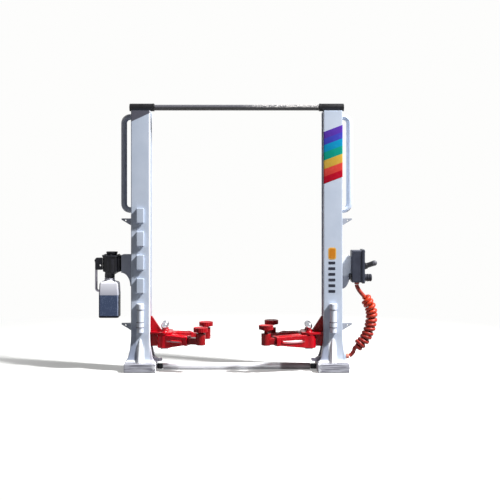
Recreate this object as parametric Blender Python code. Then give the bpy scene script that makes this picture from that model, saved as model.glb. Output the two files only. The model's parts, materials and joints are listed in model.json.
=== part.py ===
"""Two post car lift, modelled as a display model of about 1:18.

Metres, +Z up. The origin lies on the floor, midway between the posts and midway between
their fronts and backs. The front faces -Y, the power unit is at -X and the control box at +X.
A side is -1 for the left post and +1 for the right one, and a distance from the middle plane
of the lift is turned into X by that sign.
"""

import math

import bmesh
import bpy
from mathutils import Matrix, Vector

MM = 0.001

# Clearances
SEAT_GAP = 0.3 * MM
RUNNING_GAP = 0.5 * MM
BORE_GAP = 0.3 * MM
UNION_LAP = 0.6 * MM
CUT_MARGIN = 1.0 * MM

# Posts: a channel that opens towards the middle, with a lip on each flange
INSIDE_WIDTH = 153.0 * MM
POST_TOP = 229.9 * MM
POST_WIDTH = 16.7 * MM
POST_DEPTH = 22.0 * MM
POST_WALL = 2.0 * MM
POST_CORNER = 0.9 * MM
SLOT_WIDTH = 11.0 * MM
TOP_PLATE = 1.4 * MM
TOP_PLATE_INSET = 0.2 * MM
FLARE_REACH = 5.0 * MM
FLARE_HEIGHT = 26.0 * MM
FLARE_TOE = 0.8 * MM
FLARE_FORWARD = 3.4 * MM

# Base blocks
BASE_LENGTH = 27.7 * MM
BASE_DEPTH = 36.0 * MM
BASE_HEIGHT = 7.7 * MM
BASE_EDGE = 0.5 * MM

# Rib on the front of each foot
RIB_HEIGHT = 20.8 * MM
RIB_TOP_WIDTH = 3.7 * MM
RIB_FOOT_WIDTH = 5.6 * MM
RIB_TOP_PROUD = 1.6 * MM
RIB_FOOT_PROUD = 5.4 * MM

# Pointed fins on the outer side of each post
FIN_HEIGHTS = (134.6 * MM, 41.4 * MM)
FIN_REACH = 9.4 * MM
FIN_ROOT_HEIGHT = 7.0 * MM
FIN_TIP_HEIGHT = 1.2 * MM
FIN_ROOT_WIDTH = 6.0 * MM
FIN_TIP_WIDTH = 2.4 * MM
FIN_EYE_RADIUS = 0.8 * MM
FIN_EYE_SHARE = 0.6

# Plain raised blocks on the front of the left post
BLOCK_COUNT = 4
BLOCK_WIDTH = 6.4 * MM
BLOCK_HEIGHT = 13.0 * MM
BLOCK_PROUD = 2.4 * MM
BLOCK_PITCH = 20.6 * MM
BLOCK_LOWEST = 75.5 * MM
BLOCK_EDGE = 0.7 * MM

# Half-round cylinder on the lower front of each post
CYLINDER_RADIUS = 3.0 * MM
CYLINDER_COLLAR = 3.4 * MM
CYLINDER_LOW_COLLAR_RADIUS = 3.15 * MM
CYLINDER_EDGE = 0.25 * MM
CYLINDER_NUT = 2.9 * MM
CYLINDER_FOOT = 34.3 * MM
CYLINDER_NUT_HEIGHT = 4.8 * MM
CYLINDER_LOW_COLLAR = 4.4 * MM
CYLINDER_BODY = 11.2 * MM
CYLINDER_TOP_COLLAR = 5.2 * MM
CYLINDER_STANDOFF = 1.4 * MM

# Lug on the inner side of each foot, and the boss for the hose on the right one
LUG_REACH = 10.6 * MM
LUG_WIDTH = 3.2 * MM
LUG_HEIGHT = 2.7 * MM
LUG_BOTTOM = 8.9 * MM
LUG_ROOT_DROP = 0.5 * MM
HOSE_BOSS_RADIUS = 2.6 * MM
HOSE_BOSS_REACH = 4.0 * MM
HOSE_BOSS_HEIGHT = 12.0 * MM

# Handle loop on the outer side of each post
HANDLE_TUBE = 5.4 * MM
HANDLE_REACH = 10.2 * MM
HANDLE_LOW = 139.4 * MM
HANDLE_HIGH = 227.9 * MM
HANDLE_BEND = 5.6 * MM
HANDLE_SETBACK = 3.0 * MM

# Round beam across the top, with a cap on each post
BEAM_RADIUS = 2.6 * MM
CAP_RADIUS = 3.6 * MM
CAP_LENGTH = 22.2 * MM
CAP_COLLAR = 3.7 * MM
CAP_COLLAR_LENGTH = 1.6 * MM
CAP_OVERHANG = 2.3 * MM
CAP_SINK = 0.4 * MM

# Round bar across the floor, with a coupler at each base
FLOOR_BAR_RADIUS = 2.9 * MM
FLOOR_BAR_CENTRE = 3.1 * MM
COUPLER_LENGTH = 4.8 * MM
COUPLER_SIDE = 4.6 * MM

# Carriages
SLIDER_FOOT = 19.6 * MM
SLIDER_HEIGHT = 42.0 * MM
NECK_FOOT = 21.6 * MM
NECK_REACH = 6.0 * MM
PLATE_THICK = 1.8 * MM
PLATE_CORNER = 6.6 * MM
WEB_THICK = 3.2 * MM
WEB_TOP = 47.5 * MM
WEB_REACH = 9.6 * MM
COLLAR_RADIUS = 2.6 * MM
COLLAR_HEIGHT = 2.3 * MM

# Arm pins
PIN_INSET = 12.7 * MM
PIN_SPACING = 14.6 * MM
PIN_RADIUS = 1.5 * MM
PIN_HEAD_RADIUS = 3.4 * MM
PIN_HEAD_HEIGHT = 1.0 * MM
BALL_RADIUS = 3.1 * MM

# Swinging arms: an outer sleeve and a sliding inner arm
KNUCKLE_RADIUS = 6.3 * MM
ARM_TOP = 32.4 * MM
ARM_ROOT_HEIGHT = 11.7 * MM
ARM_END_HEIGHT = 7.4 * MM
ARM_END_DROP = 0.9 * MM
ARM_END_WIDTH = 11.4 * MM
ARM_EDGE = 0.5 * MM
SLEEVE_EDGE = 0.4 * MM
SLEEVE_LIP = 0.3 * MM
SLEEVE_LIP_LENGTH = 3.0 * MM
SLEEVE_WAIST = 0.4
BAR_WIDTH = 7.6 * MM
BAR_HEIGHT = 5.6 * MM
BAR_TAIL = 9.4 * MM
BORE_START = 6.6 * MM
SOCKET_RADIUS = 4.2 * MM
SOCKET_HEIGHT = 10.4 * MM
SOCKET_DROP = 0.5 * MM
SOCKET_FLOOR = 1.2 * MM

# Recessed panel with a raised oval on each side of a sleeve, and the ridges on its top
PANEL_START = 6.8 * MM
PANEL_END_MARGIN = 3.6 * MM
PANEL_HEIGHT = 4.2 * MM
PANEL_DEPTH = 0.4 * MM
PANEL_CORNER = 1.0 * MM
PANEL_ABOVE_FOOT = 3.9 * MM
OVAL_HEIGHT = 3.2 * MM
OVAL_MARGIN = 0.8 * MM
OVAL_PROUD = 0.5 * MM
OVAL_ROUND = 0.7 * MM
OVAL_CORNER_SHARE = 0.9
RIDGE_START = 7.8 * MM
RIDGE_SPREAD = 4.0 * MM
RIDGE_WIDTH = 0.8 * MM
RIDGE_RISE = 0.4 * MM

# Lifting pads
PAD_RADIUS = 6.3 * MM
PAD_THICK = 3.6 * MM
PAD_NECK_RADIUS = 2.9 * MM
PAD_NECK_HEIGHT = 1.0 * MM
STEM_RADIUS = 1.7 * MM
STEM_LENGTH = 8.0 * MM

# Arms at rest: swing from the middle line, reach from pin to pad centre, and how far
# a pad stands above its lowest place
ARM_SWING_DEG = 20.0
RIGHT_FRONT_SWING_DEG = 19.0
LEFT_FRONT_REACH = 34.4 * MM
LEFT_REAR_REACH = 38.1 * MM
RIGHT_FRONT_REACH = 40.5 * MM
RIGHT_REAR_REACH = 34.2 * MM
LEFT_FRONT_SLEEVE = 23.4 * MM
LEFT_REAR_SLEEVE = 24.4 * MM
RIGHT_FRONT_SLEEVE = 32.4 * MM
RIGHT_REAR_SLEEVE = 25.2 * MM
LEFT_PAD_RAISED = 0.0 * MM
RIGHT_FRONT_PAD_RAISED = 2.2 * MM
RIGHT_REAR_PAD_RAISED = 1.8 * MM

# Each arm: side, end of the carriage, swing, reach and raised pad
ARMS = {
    "left_front": (-1, -1, ARM_SWING_DEG, LEFT_FRONT_SLEEVE, LEFT_FRONT_REACH, LEFT_PAD_RAISED),
    "left_rear": (-1, 1, ARM_SWING_DEG, LEFT_REAR_SLEEVE, LEFT_REAR_REACH, LEFT_PAD_RAISED),
    "right_front": (
        1,
        -1,
        RIGHT_FRONT_SWING_DEG,
        RIGHT_FRONT_SLEEVE,
        RIGHT_FRONT_REACH,
        RIGHT_FRONT_PAD_RAISED,
    ),
    "right_rear": (1, 1, ARM_SWING_DEG, RIGHT_REAR_SLEEVE, RIGHT_REAR_REACH, RIGHT_REAR_PAD_RAISED),
}

# Power unit on the left post
LEFT_BRACKET_TOP = 102.7 * MM
LEFT_BRACKET_REACH = 9.6 * MM
LEFT_BRACKET_EDGE = 16.4 * MM
LEFT_BRACKET_CURVE = 12.0 * MM
BRACKET_THICK = 4.6 * MM
BRACKET_CORNER = 2.2 * MM
MOTOR_RADIUS = 8.1 * MM
MOTOR_RIB = 0.7 * MM
MOTOR_RIB_COUNT = 12
MOTOR_FOOT = 86.7 * MM
MOTOR_HEIGHT = 13.8 * MM
MOTOR_FLANGE_RADIUS = 8.9 * MM
MOTOR_FLANGE_HEIGHT = 1.5 * MM
MOTOR_CAP_LOW_RADIUS = 4.5 * MM
MOTOR_CAP_TOP_RADIUS = 5.2 * MM
MOTOR_CAP_HEIGHT = 3.1 * MM
FUNNEL_TOP_RADIUS = 6.2 * MM
FUNNEL_FOOT_RADIUS = 4.5 * MM
FUNNEL_HEIGHT = 4.6 * MM
TANK_SHIFT = 2.0 * MM
TANK_SIDE = 17.6 * MM
TANK_DEPTH = 16.4 * MM
TANK_FOOT = 46.7 * MM
TANK_SHOULDER_DROP = 2.4 * MM
TANK_SHOULDER_RISE = 1.6 * MM
TANK_SHOULDER_STEP = 0.9 * MM
TANK_EDGE = 0.6 * MM
TANK_STRAIGHT_SHARE = 0.72
TANK_NECK_RADIUS = 4.6 * MM
TANK_NECK_LENGTH = 2.8 * MM
TANK_NECK_FLARE = 0.8 * MM
TANK_NECK_STEP = 0.5 * MM
TANK_CORNER = 1.4 * MM
TANK_TAPER = 0.5 * MM
SWITCH_LENGTH = 6.9 * MM
SWITCH_TOP = 99.6 * MM
SWITCH_HEAD_HEIGHT = 4.6 * MM
SWITCH_FOOT = 88.9 * MM
SWITCH_DEPTH = 6.0 * MM
SWITCH_LEG = 3.4 * MM
SWITCH_BACK = 0.9 * MM
SWITCH_STEP = 0.6 * MM
SWITCH_POINT = 1.4 * MM
SWITCH_BRIDGE = 2.2 * MM
WIRE_RADIUS = 1.15 * MM
WIRE_FOOT = 70.0 * MM
WIRE_BEND = 2.4 * MM
WIRE_INSET = 0.1 * MM

# Control box on the right post
RIGHT_BRACKET_TOP = 101.6 * MM
RIGHT_BRACKET_REACH = 8.6 * MM
RIGHT_BRACKET_SETBACK = 2.0 * MM
RIGHT_BRACKET_EDGE = 16.0 * MM
RIGHT_BRACKET_CURVE = 13.6 * MM
BOX_WIDTH = 11.3 * MM
BOX_DEPTH = 15.0 * MM
BOX_FOOT = 77.9 * MM
BOX_HEIGHT = 28.4 * MM
BOX_CORNER = 1.2 * MM
COVER_WIDTH = 2.4 * MM
COVER_PROUD = 0.8 * MM
KNOB_RADIUS = 3.0 * MM
KNOB_LENGTH = 2.4 * MM
KNOB_CENTRE_Y = -4.2 * MM
KNOB_HEIGHT = 83.2 * MM
LEVER_RADIUS = 2.5 * MM
LEVER_REACH = 11.5 * MM
LEVER_ROOT_HEIGHT = 91.8 * MM
LEVER_LIFT_DEG = 18.0
LEVER_COLLAR_PROUD = 0.4 * MM
LEVER_COLLAR_LENGTH = 2.2 * MM
LEVER_NECK_IN = 0.2 * MM
LEVER_SHAFT_SHARE = 0.6
SOCKET_PLUG_RADIUS = 3.4 * MM
SOCKET_PLUG_LENGTH = 6.6 * MM
SOCKET_PLUG_CENTRE = 81.8 * MM
SOCKET_PLUG_RIBS = 3

# Curled hose from the control box to the foot of the right post
HOSE_RADIUS = 1.5 * MM
HOSE_COIL_RADIUS = 5.3 * MM
RELIEF_TOP_RADIUS = 2.3 * MM
RELIEF_FOOT_RADIUS = 1.8 * MM
RELIEF_LENGTH = 1.8 * MM
RELIEF_SHOULDER = 0.6 * MM
RELIEF_FROM_BOX_EDGE = 3.9 * MM
FERRULE_RADIUS = 2.3 * MM
FERRULE_LENGTH = 2.6 * MM
FERRULE_EDGE = 0.4 * MM

# The hose's route, as distance from the middle plane and height
HOSE_UPPER_ROUTE = (
    (107.8 * MM, 72.8 * MM),
    (109.6 * MM, 69.8 * MM),
    (111.8 * MM, 67.1 * MM),
)
HOSE_COIL_ROUTE = (
    (113.6 * MM, 64.8 * MM),
    (117.2 * MM, 60.0 * MM),
    (120.0 * MM, 54.0 * MM),
    (120.8 * MM, 47.0 * MM),
    (119.6 * MM, 39.6 * MM),
    (117.1 * MM, 33.0 * MM),
    (112.8 * MM, 25.4 * MM),
    (107.9 * MM, 21.0 * MM),
)
HOSE_LOWER_ROUTE = (
    (106.4 * MM, 19.4 * MM),
    (105.6 * MM, 17.4 * MM),
    (104.4 * MM, 14.6 * MM),
)

# Facets
ROUND_STEPS = 24
SMALL_ROUND_STEPS = 16
RIB_POINTS = 4
TANK_CORNER_STEPS = 5
EYE_STEPS = 10
SOCKET_STEPS = 20
BRACKET_STEPS = 8
ARC_STEPS = 4
FLARE_STEPS = 9

HALF_INSIDE = INSIDE_WIDTH / 2
POST_OUTSIDE = HALF_INSIDE + POST_WIDTH
POST_MIDDLE = HALF_INSIDE + POST_WIDTH / 2
POST_FOOT = BASE_HEIGHT + SEAT_GAP
PIN_DISTANCE = HALF_INSIDE - PIN_INSET
ARM_FOOT = ARM_TOP - ARM_ROOT_HEIGHT
TANK_TOP = MOTOR_FOOT - FUNNEL_HEIGHT - SEAT_GAP - TANK_NECK_LENGTH
TANK_SHOULDER = TANK_TOP - TANK_SHOULDER_DROP
PLATE_FOOT = ARM_TOP + SEAT_GAP
PLATE_TOP = PLATE_FOOT + PLATE_THICK
SIDE_NAMES = {-1: "left", 1: "right"}


def clear_scene():
    for thing in list(bpy.data.objects):
        bpy.data.objects.remove(thing, do_unlink=True)


def material(name, colour, roughness, metallic=0.0):
    """A plain Principled material; colour is linear red, green and blue."""
    made = bpy.data.materials.new(name)
    made.use_nodes = True
    shader = made.node_tree.nodes["Principled BSDF"]
    shader.inputs["Base Color"].default_value = (*colour, 1.0)
    shader.inputs["Roughness"].default_value = roughness
    shader.inputs["Metallic"].default_value = metallic
    return made


def shaded(mesh, angle_deg=35.0):
    mesh.shade_smooth()
    mesh.set_sharp_from_angle(angle=math.radians(angle_deg))


def mesh_object(name, bm, finish, helper=False):
    """Turns a bmesh into a named object with outward faces."""
    bmesh.ops.recalc_face_normals(bm, faces=bm.faces)
    mesh = bpy.data.meshes.new(name)
    bm.to_mesh(mesh)
    bm.free()
    shaded(mesh)
    made = bpy.data.objects.new(name, mesh)
    bpy.context.scene.collection.objects.link(made)
    if helper:
        made.hide_render = True
        made.display_type = "WIRE"
    elif finish is not None:
        mesh.materials.append(finish)
    return made


def boolean(target, other, operation):
    """Adds one exact Boolean step to an object; the other object is a helper."""
    other.hide_render = True
    other.display_type = "WIRE"
    step = target.modifiers.new(other.name, "BOOLEAN")
    step.operation = operation
    step.solver = "EXACT"
    step.object = other


def loft(rings):
    """A closed body through rings of equally many points, with flat ends."""
    bm = bmesh.new()
    rows = [[bm.verts.new(point) for point in ring] for ring in rings]
    for low, high in zip(rows, rows[1:]):
        for index in range(len(low)):
            after = (index + 1) % len(low)
            bm.faces.new((low[index], low[after], high[after], high[index]))
    bm.faces.new(list(reversed(rows[0])))
    bm.faces.new(rows[-1])
    return bm


def prism(outline, start, length, direction):
    """An outline of 3-D points pushed by a length along a direction."""
    push = Vector(direction).normalized()
    low = [Vector(point) + push * start for point in outline]
    high = [point + push * length for point in low]
    return loft([low, high])


def block(centre, size, edge=0.0):
    """A box by its centre and size, with its edges chamfered."""
    bm = bmesh.new()
    bmesh.ops.create_cube(bm, size=1.0, matrix=Matrix.Translation(centre) @ Matrix.Diagonal((*size, 1.0)))
    if edge > 0:
        bmesh.ops.bevel(bm, geom=bm.edges[:], offset=edge, segments=2, affect="EDGES", profile=0.6)
    return bm


def aim(direction):
    """A rotation that turns +Z to a direction."""
    return Vector((0, 0, 1)).rotation_difference(Vector(direction).normalized()).to_matrix().to_4x4()


def turned(profile, place, direction=(0, 0, 1), steps=ROUND_STEPS):
    """A body turned about a direction through a place; the profile is (radius, along) pairs."""
    bm = bmesh.new()
    rows = []
    for radius, along in profile:
        ring = []
        for step in range(steps):
            angle = 2 * math.pi * (step + 0.5) / steps
            ring.append(bm.verts.new((radius * math.cos(angle), radius * math.sin(angle), along)))
        rows.append(ring)
    for low, high in zip(rows, rows[1:]):
        for index in range(steps):
            after = (index + 1) % steps
            bm.faces.new((low[index], low[after], high[after], high[index]))
    bm.faces.new(list(reversed(rows[0])))
    bm.faces.new(rows[-1])
    bm.transform(Matrix.Translation(place) @ aim(direction))
    return bm


def dome(radius, along, steps=5, smallest=0.12):
    """Profile points of a half ball that ends in a small flat, from its widest ring up."""
    points = []
    for step in range(steps + 1):
        angle = math.acos(smallest) * step / steps
        points.append((radius * math.cos(angle), along + radius * math.sin(angle)))
    return points


def arc(centre, radius, start_deg, end_deg, steps=ARC_STEPS):
    """Points on an arc, as pairs."""
    points = []
    for step in range(steps + 1):
        angle = math.radians(start_deg + (end_deg - start_deg) * step / steps)
        points.append((centre[0] + radius * math.cos(angle), centre[1] + radius * math.sin(angle)))
    return points


def rounded_rectangle(half_a, half_b, corner, steps=3):
    """An outline of pairs about the origin, anticlockwise, with round corners."""
    points = []
    for index, (sign_a, sign_b) in enumerate(((1, 1), (-1, 1), (-1, -1), (1, -1))):
        centre = (sign_a * (half_a - corner), sign_b * (half_b - corner))
        points += arc(centre, corner, 90 * index, 90 * index + 90, steps)
    return points


def smooth_path(points, spacing):
    """Points read from a smooth curve through the given ones, about a spacing apart."""
    knots = [Vector(point) for point in points]
    before = knots[0] * 2 - knots[1]
    after = knots[-1] * 2 - knots[-2]
    knots = [before, *knots, after]
    read = []
    for index in range(1, len(knots) - 2):
        a, b, c, d = knots[index - 1 : index + 3]
        count = max(2, math.ceil((c - b).length / spacing))
        for step in range(count):
            t = step / count
            read.append(
                0.5
                * (
                    2 * b
                    + (c - a) * t
                    + (2 * a - 5 * b + 4 * c - d) * t * t
                    + (3 * b - a - 3 * c + d) * t**3
                )
            )
    read.append(knots[-2].copy())
    return read


def tube(name, points, radius, finish, resolution=2):
    """A round tube along points, as a curve with filled ends."""
    curve = bpy.data.curves.new(name, "CURVE")
    curve.dimensions = "3D"
    curve.bevel_depth = radius
    curve.bevel_resolution = resolution
    curve.use_fill_caps = True
    spline = curve.splines.new("POLY")
    spline.points.add(len(points) - 1)
    for target, point in zip(spline.points, points):
        target.co = (*point, 1.0)
    spline.use_smooth = True
    curve.materials.append(finish)
    made = bpy.data.objects.new(name, curve)
    bpy.context.scene.collection.objects.link(made)
    return made


def flare_at(height):
    """How far the foot of a post spreads at a height, from 1 at its toe to 0 at its top."""
    share = (height - POST_FOOT - FLARE_TOE) / FLARE_HEIGHT
    share = min(max(share, 0.0), 1.0)
    return 1 - math.sqrt(max(0.0, 1 - (1 - share) ** 2))


def post_ring(side, height):
    """The channel's outline at a height, spread by the flare."""
    spread = flare_at(height)
    outer = POST_OUTSIDE + FLARE_REACH * spread
    inner = HALF_INSIDE - FLARE_REACH * spread
    front = POST_DEPTH / 2 + FLARE_FORWARD * spread
    half_slot = SLOT_WIDTH / 2
    cavity_outer = POST_OUTSIDE - POST_WALL
    cavity_inner = HALF_INSIDE + POST_WALL
    cavity_side = POST_DEPTH / 2 - POST_WALL
    half = [
        (cavity_outer, 0.0),
        (cavity_outer, cavity_side),
        (cavity_inner, cavity_side),
        (cavity_inner, half_slot),
        (inner, half_slot),
        *reversed(arc((inner + POST_CORNER, front - POST_CORNER), POST_CORNER, 90, 180, 2)),
        *reversed(arc((outer - POST_CORNER, front - POST_CORNER), POST_CORNER, 0, 90, 2)),
        (outer, 0.0),
    ]
    mirrored = [(distance, -y) for distance, y in reversed(half[1:-1])]
    return [Vector((side * distance, y, height)) for distance, y in half + mirrored]


def fin(side, top):
    """A pointed fin with a flat top and a slanting underside."""
    root = POST_OUTSIDE - UNION_LAP
    tip = POST_OUTSIDE + FIN_REACH
    rings = []
    for distance, height, width in (
        (root, FIN_ROOT_HEIGHT, FIN_ROOT_WIDTH),
        (tip, FIN_TIP_HEIGHT, FIN_TIP_WIDTH),
    ):
        rings.append(
            [
                Vector((side * distance, -width / 2, top)),
                Vector((side * distance, width / 2, top)),
                Vector((side * distance, width / 2, top - height)),
                Vector((side * distance, -width / 2, top - height)),
            ]
        )
    return loft(rings)


def fin_eye(side, top):
    """The round hole through a fin near its tip."""
    height = FIN_ROOT_HEIGHT + (FIN_TIP_HEIGHT - FIN_ROOT_HEIGHT) * FIN_EYE_SHARE
    return turned(
        [(FIN_EYE_RADIUS, -FIN_ROOT_WIDTH), (FIN_EYE_RADIUS, FIN_ROOT_WIDTH)],
        (side * (POST_OUTSIDE + FIN_REACH * FIN_EYE_SHARE), 0.0, top - height / 2),
        (0, 1, 0),
        EYE_STEPS,
    )


def front_rib(side):
    """The buttress on the front of a foot, with a round top."""
    rings = []
    for share in (0.0, 0.25, 0.5, 0.75, 0.92, 1.0):
        crown = math.sqrt(max(0.0, 1 - share**6))
        width = RIB_FOOT_WIDTH + (RIB_TOP_WIDTH - RIB_FOOT_WIDTH) * share
        proud = RIB_TOP_PROUD + (RIB_FOOT_PROUD - RIB_TOP_PROUD) * (1 - share) ** 1.5
        half = width / 2 * max(crown, 0.35)
        front = -POST_DEPTH / 2 - proud * max(crown, 0.35)
        back = -POST_DEPTH / 2 + UNION_LAP
        height = POST_FOOT + RIB_HEIGHT * share
        middle = side * POST_MIDDLE
        rings.append(
            [
                Vector((middle - half, back, height)),
                Vector((middle - half, front + half / 2, height)),
                Vector((middle - half / 2, front, height)),
                Vector((middle + half / 2, front, height)),
                Vector((middle + half, front + half / 2, height)),
                Vector((middle + half, back, height)),
            ]
        )
    return loft(rings)


def foot_lug(side):
    """The small hook-shaped lug on the inner toe of a foot."""
    root = HALF_INSIDE - FLARE_REACH * 0.35
    tip = HALF_INSIDE - LUG_REACH
    top = LUG_BOTTOM + LUG_HEIGHT
    outline = [
        (root, LUG_BOTTOM - LUG_ROOT_DROP),
        (tip + LUG_HEIGHT, LUG_BOTTOM),
        (tip + 0.4 * MM, LUG_BOTTOM),
        (tip, LUG_BOTTOM + 0.6 * MM),
        (tip, top - 0.5 * MM),
        (tip + 0.6 * MM, top),
        (tip + LUG_HEIGHT, top - 0.4 * MM),
        (root, top + 1.4 * MM),
    ]
    start = -SLOT_WIDTH / 2 - LUG_WIDTH - SEAT_GAP
    return prism([(side * d, 0.0, z) for d, z in outline], start, LUG_WIDTH, (0, 1, 0))


def build_post(side, paint):
    """One post: channel, flared foot, top plate, rib, fins, lug and its raised blocks."""
    name = f"{SIDE_NAMES[side]}_post"
    heights = [POST_FOOT]
    for step in range(FLARE_STEPS + 1):
        share = (step / FLARE_STEPS) ** 1.4
        heights.append(POST_FOOT + FLARE_TOE + FLARE_HEIGHT * share)
    heights.append(POST_TOP - TOP_PLATE / 2)
    post = mesh_object(name, loft([post_ring(side, z) for z in heights]), paint)
    plate_outline = rounded_rectangle(
        POST_WIDTH / 2 - TOP_PLATE_INSET, POST_DEPTH / 2 - TOP_PLATE_INSET, POST_CORNER, 2
    )
    plate = prism(
        [Vector((side * (POST_MIDDLE + a), b, POST_TOP - TOP_PLATE)) for a, b in plate_outline],
        0.0,
        TOP_PLATE,
        (0, 0, 1),
    )
    boolean(post, mesh_object(f"{name}_top_plate", plate, None, helper=True), "UNION")
    for index, top in enumerate(FIN_HEIGHTS):
        boolean(post, mesh_object(f"{name}_fin_{index}", fin(side, top), None, helper=True), "UNION")
        eye = mesh_object(f"{name}_fin_eye_{index}", fin_eye(side, top), None, helper=True)
        boolean(post, eye, "DIFFERENCE")
    boolean(post, mesh_object(f"{name}_rib", front_rib(side), None, helper=True), "UNION")
    boolean(post, mesh_object(f"{name}_lug", foot_lug(side), None, helper=True), "UNION")
    if side < 0:
        for index in range(BLOCK_COUNT):
            height = BLOCK_LOWEST + BLOCK_PITCH * index
            centre = (
                side * POST_MIDDLE,
                -POST_DEPTH / 2 - BLOCK_PROUD / 2 + UNION_LAP / 2,
                height,
            )
            size = (BLOCK_WIDTH, BLOCK_PROUD + UNION_LAP, BLOCK_HEIGHT)
            shape = block(centre, size, BLOCK_EDGE)
            raised = mesh_object(f"{name}_block_{index}", shape, None, helper=True)
            boolean(post, raised, "UNION")
    else:
        boss = turned(
            [(HOSE_BOSS_RADIUS, -UNION_LAP * 2), (HOSE_BOSS_RADIUS, HOSE_BOSS_REACH)],
            (side * POST_OUTSIDE, 0.0, HOSE_BOSS_HEIGHT),
            (side, 0, 0),
            SMALL_ROUND_STEPS,
        )
        boolean(post, mesh_object(f"{name}_hose_boss", boss, None, helper=True), "UNION")
    return post


def build_base(side, finish):
    """The floor block under a post."""
    centre = (side * POST_MIDDLE, 0.0, BASE_HEIGHT / 2)
    bm = block(centre, (BASE_LENGTH, BASE_DEPTH, BASE_HEIGHT), BASE_EDGE)
    return mesh_object(f"{SIDE_NAMES[side]}_base", bm, finish)


def build_relief_cylinder(side, paint):
    """The half-round cylinder on the lower front of a post, flat where it seats."""
    profile = []
    level = CYLINDER_FOOT
    for radius, length in (
        (CYLINDER_NUT, CYLINDER_NUT_HEIGHT),
        (CYLINDER_LOW_COLLAR_RADIUS, CYLINDER_LOW_COLLAR),
        (CYLINDER_RADIUS, CYLINDER_BODY),
        (CYLINDER_COLLAR, CYLINDER_TOP_COLLAR),
    ):
        profile.append((radius - CYLINDER_EDGE, level))
        profile.append((radius, level + CYLINDER_EDGE))
        profile.append((radius, level + length - CYLINDER_EDGE))
        profile.append((radius - CYLINDER_EDGE, level + length))
        level += length
    face = -POST_DEPTH / 2 - SEAT_GAP
    bm = turned(
        profile,
        (side * POST_MIDDLE, face - CYLINDER_STANDOFF, 0.0),
        steps=ROUND_STEPS,
    )
    cut = bmesh.ops.bisect_plane(
        bm,
        geom=bm.verts[:] + bm.edges[:] + bm.faces[:],
        plane_co=(0, face, 0),
        plane_no=(0, 1, 0),
        clear_outer=True,
    )
    rim = [item for item in cut["geom_cut"] if isinstance(item, bmesh.types.BMEdge)]
    bmesh.ops.contextual_create(bm, geom=rim)
    return mesh_object(f"{SIDE_NAMES[side]}_relief_cylinder", bm, paint)


def build_handle(side, paint):
    """The handle loop: out from the post, up beside it and back in."""
    start = POST_OUTSIDE + SEAT_GAP
    middle = POST_OUTSIDE + HANDLE_REACH - HANDLE_TUBE / 2
    low = HANDLE_LOW + HANDLE_TUBE / 2
    high = HANDLE_HIGH - HANDLE_TUBE / 2
    bend = HANDLE_BEND - 0.2 * MM
    corner = min(bend, middle - start - 0.1 * MM)
    path = [(start, low)]
    path += arc((middle - corner, low + corner), corner, -90, 0, 6)
    path += arc((middle - corner, high - corner), corner, 0, 90, 6)
    path += [(start, high)]
    points = [Vector((side * d, HANDLE_SETBACK, z)) for d, z in path]
    return tube(f"{SIDE_NAMES[side]}_handle", points, HANDLE_TUBE / 2, paint, 3)


def build_top_beam(black):
    """The round beam, and its cap on each post."""
    height = POST_TOP + SEAT_GAP + CAP_RADIUS - CAP_SINK
    cap_outer = POST_OUTSIDE + CAP_OVERHANG
    cap_inner = cap_outer - CAP_LENGTH
    half = cap_inner - SEAT_GAP
    beam = turned([(BEAM_RADIUS, -half), (BEAM_RADIUS, half)], (0, 0, height), (1, 0, 0))
    mesh_object("top_beam", beam, black)
    for side, side_name in SIDE_NAMES.items():
        edge = 0.5 * MM
        profile = [
            (CAP_COLLAR - edge, 0.0),
            (CAP_COLLAR, edge),
            (CAP_COLLAR, CAP_COLLAR_LENGTH),
            (CAP_RADIUS, CAP_COLLAR_LENGTH + edge),
            (CAP_RADIUS, CAP_LENGTH - edge),
            (CAP_RADIUS - edge, CAP_LENGTH),
        ]
        bm = turned(profile, (side * cap_inner, 0, height), (side, 0, 0))
        cut = bmesh.ops.bisect_plane(
            bm,
            geom=bm.verts[:] + bm.edges[:] + bm.faces[:],
            plane_co=(0, 0, POST_TOP + SEAT_GAP),
            plane_no=(0, 0, -1),
            clear_outer=True,
        )
        rim = [item for item in cut["geom_cut"] if isinstance(item, bmesh.types.BMEdge)]
        bmesh.ops.contextual_create(bm, geom=rim)
        mesh_object(f"{side_name}_beam_cap", bm, black)


def build_floor_bar(finish, dark):
    """The round bar across the floor and the coupler at each base."""
    base_inner = POST_MIDDLE - BASE_LENGTH / 2
    coupler_outer = base_inner - SEAT_GAP
    coupler_inner = coupler_outer - COUPLER_LENGTH
    half = coupler_inner - SEAT_GAP
    bar = turned(
        [(FLOOR_BAR_RADIUS, -half), (FLOOR_BAR_RADIUS, half)],
        (0, 0, FLOOR_BAR_CENTRE),
        (1, 0, 0),
    )
    mesh_object("floor_bar", bar, finish)
    for side, side_name in SIDE_NAMES.items():
        centre = (side * (coupler_outer - COUPLER_LENGTH / 2), 0.0, FLOOR_BAR_CENTRE)
        bm = block(centre, (COUPLER_LENGTH, COUPLER_SIDE, COUPLER_SIDE), 0.5 * MM)
        mesh_object(f"{side_name}_bar_coupler", bm, dark)


def pin_place(side, end):
    """The axis of an arm's pin, as X and Y."""
    return side * PIN_DISTANCE, end * PIN_SPACING / 2


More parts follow.
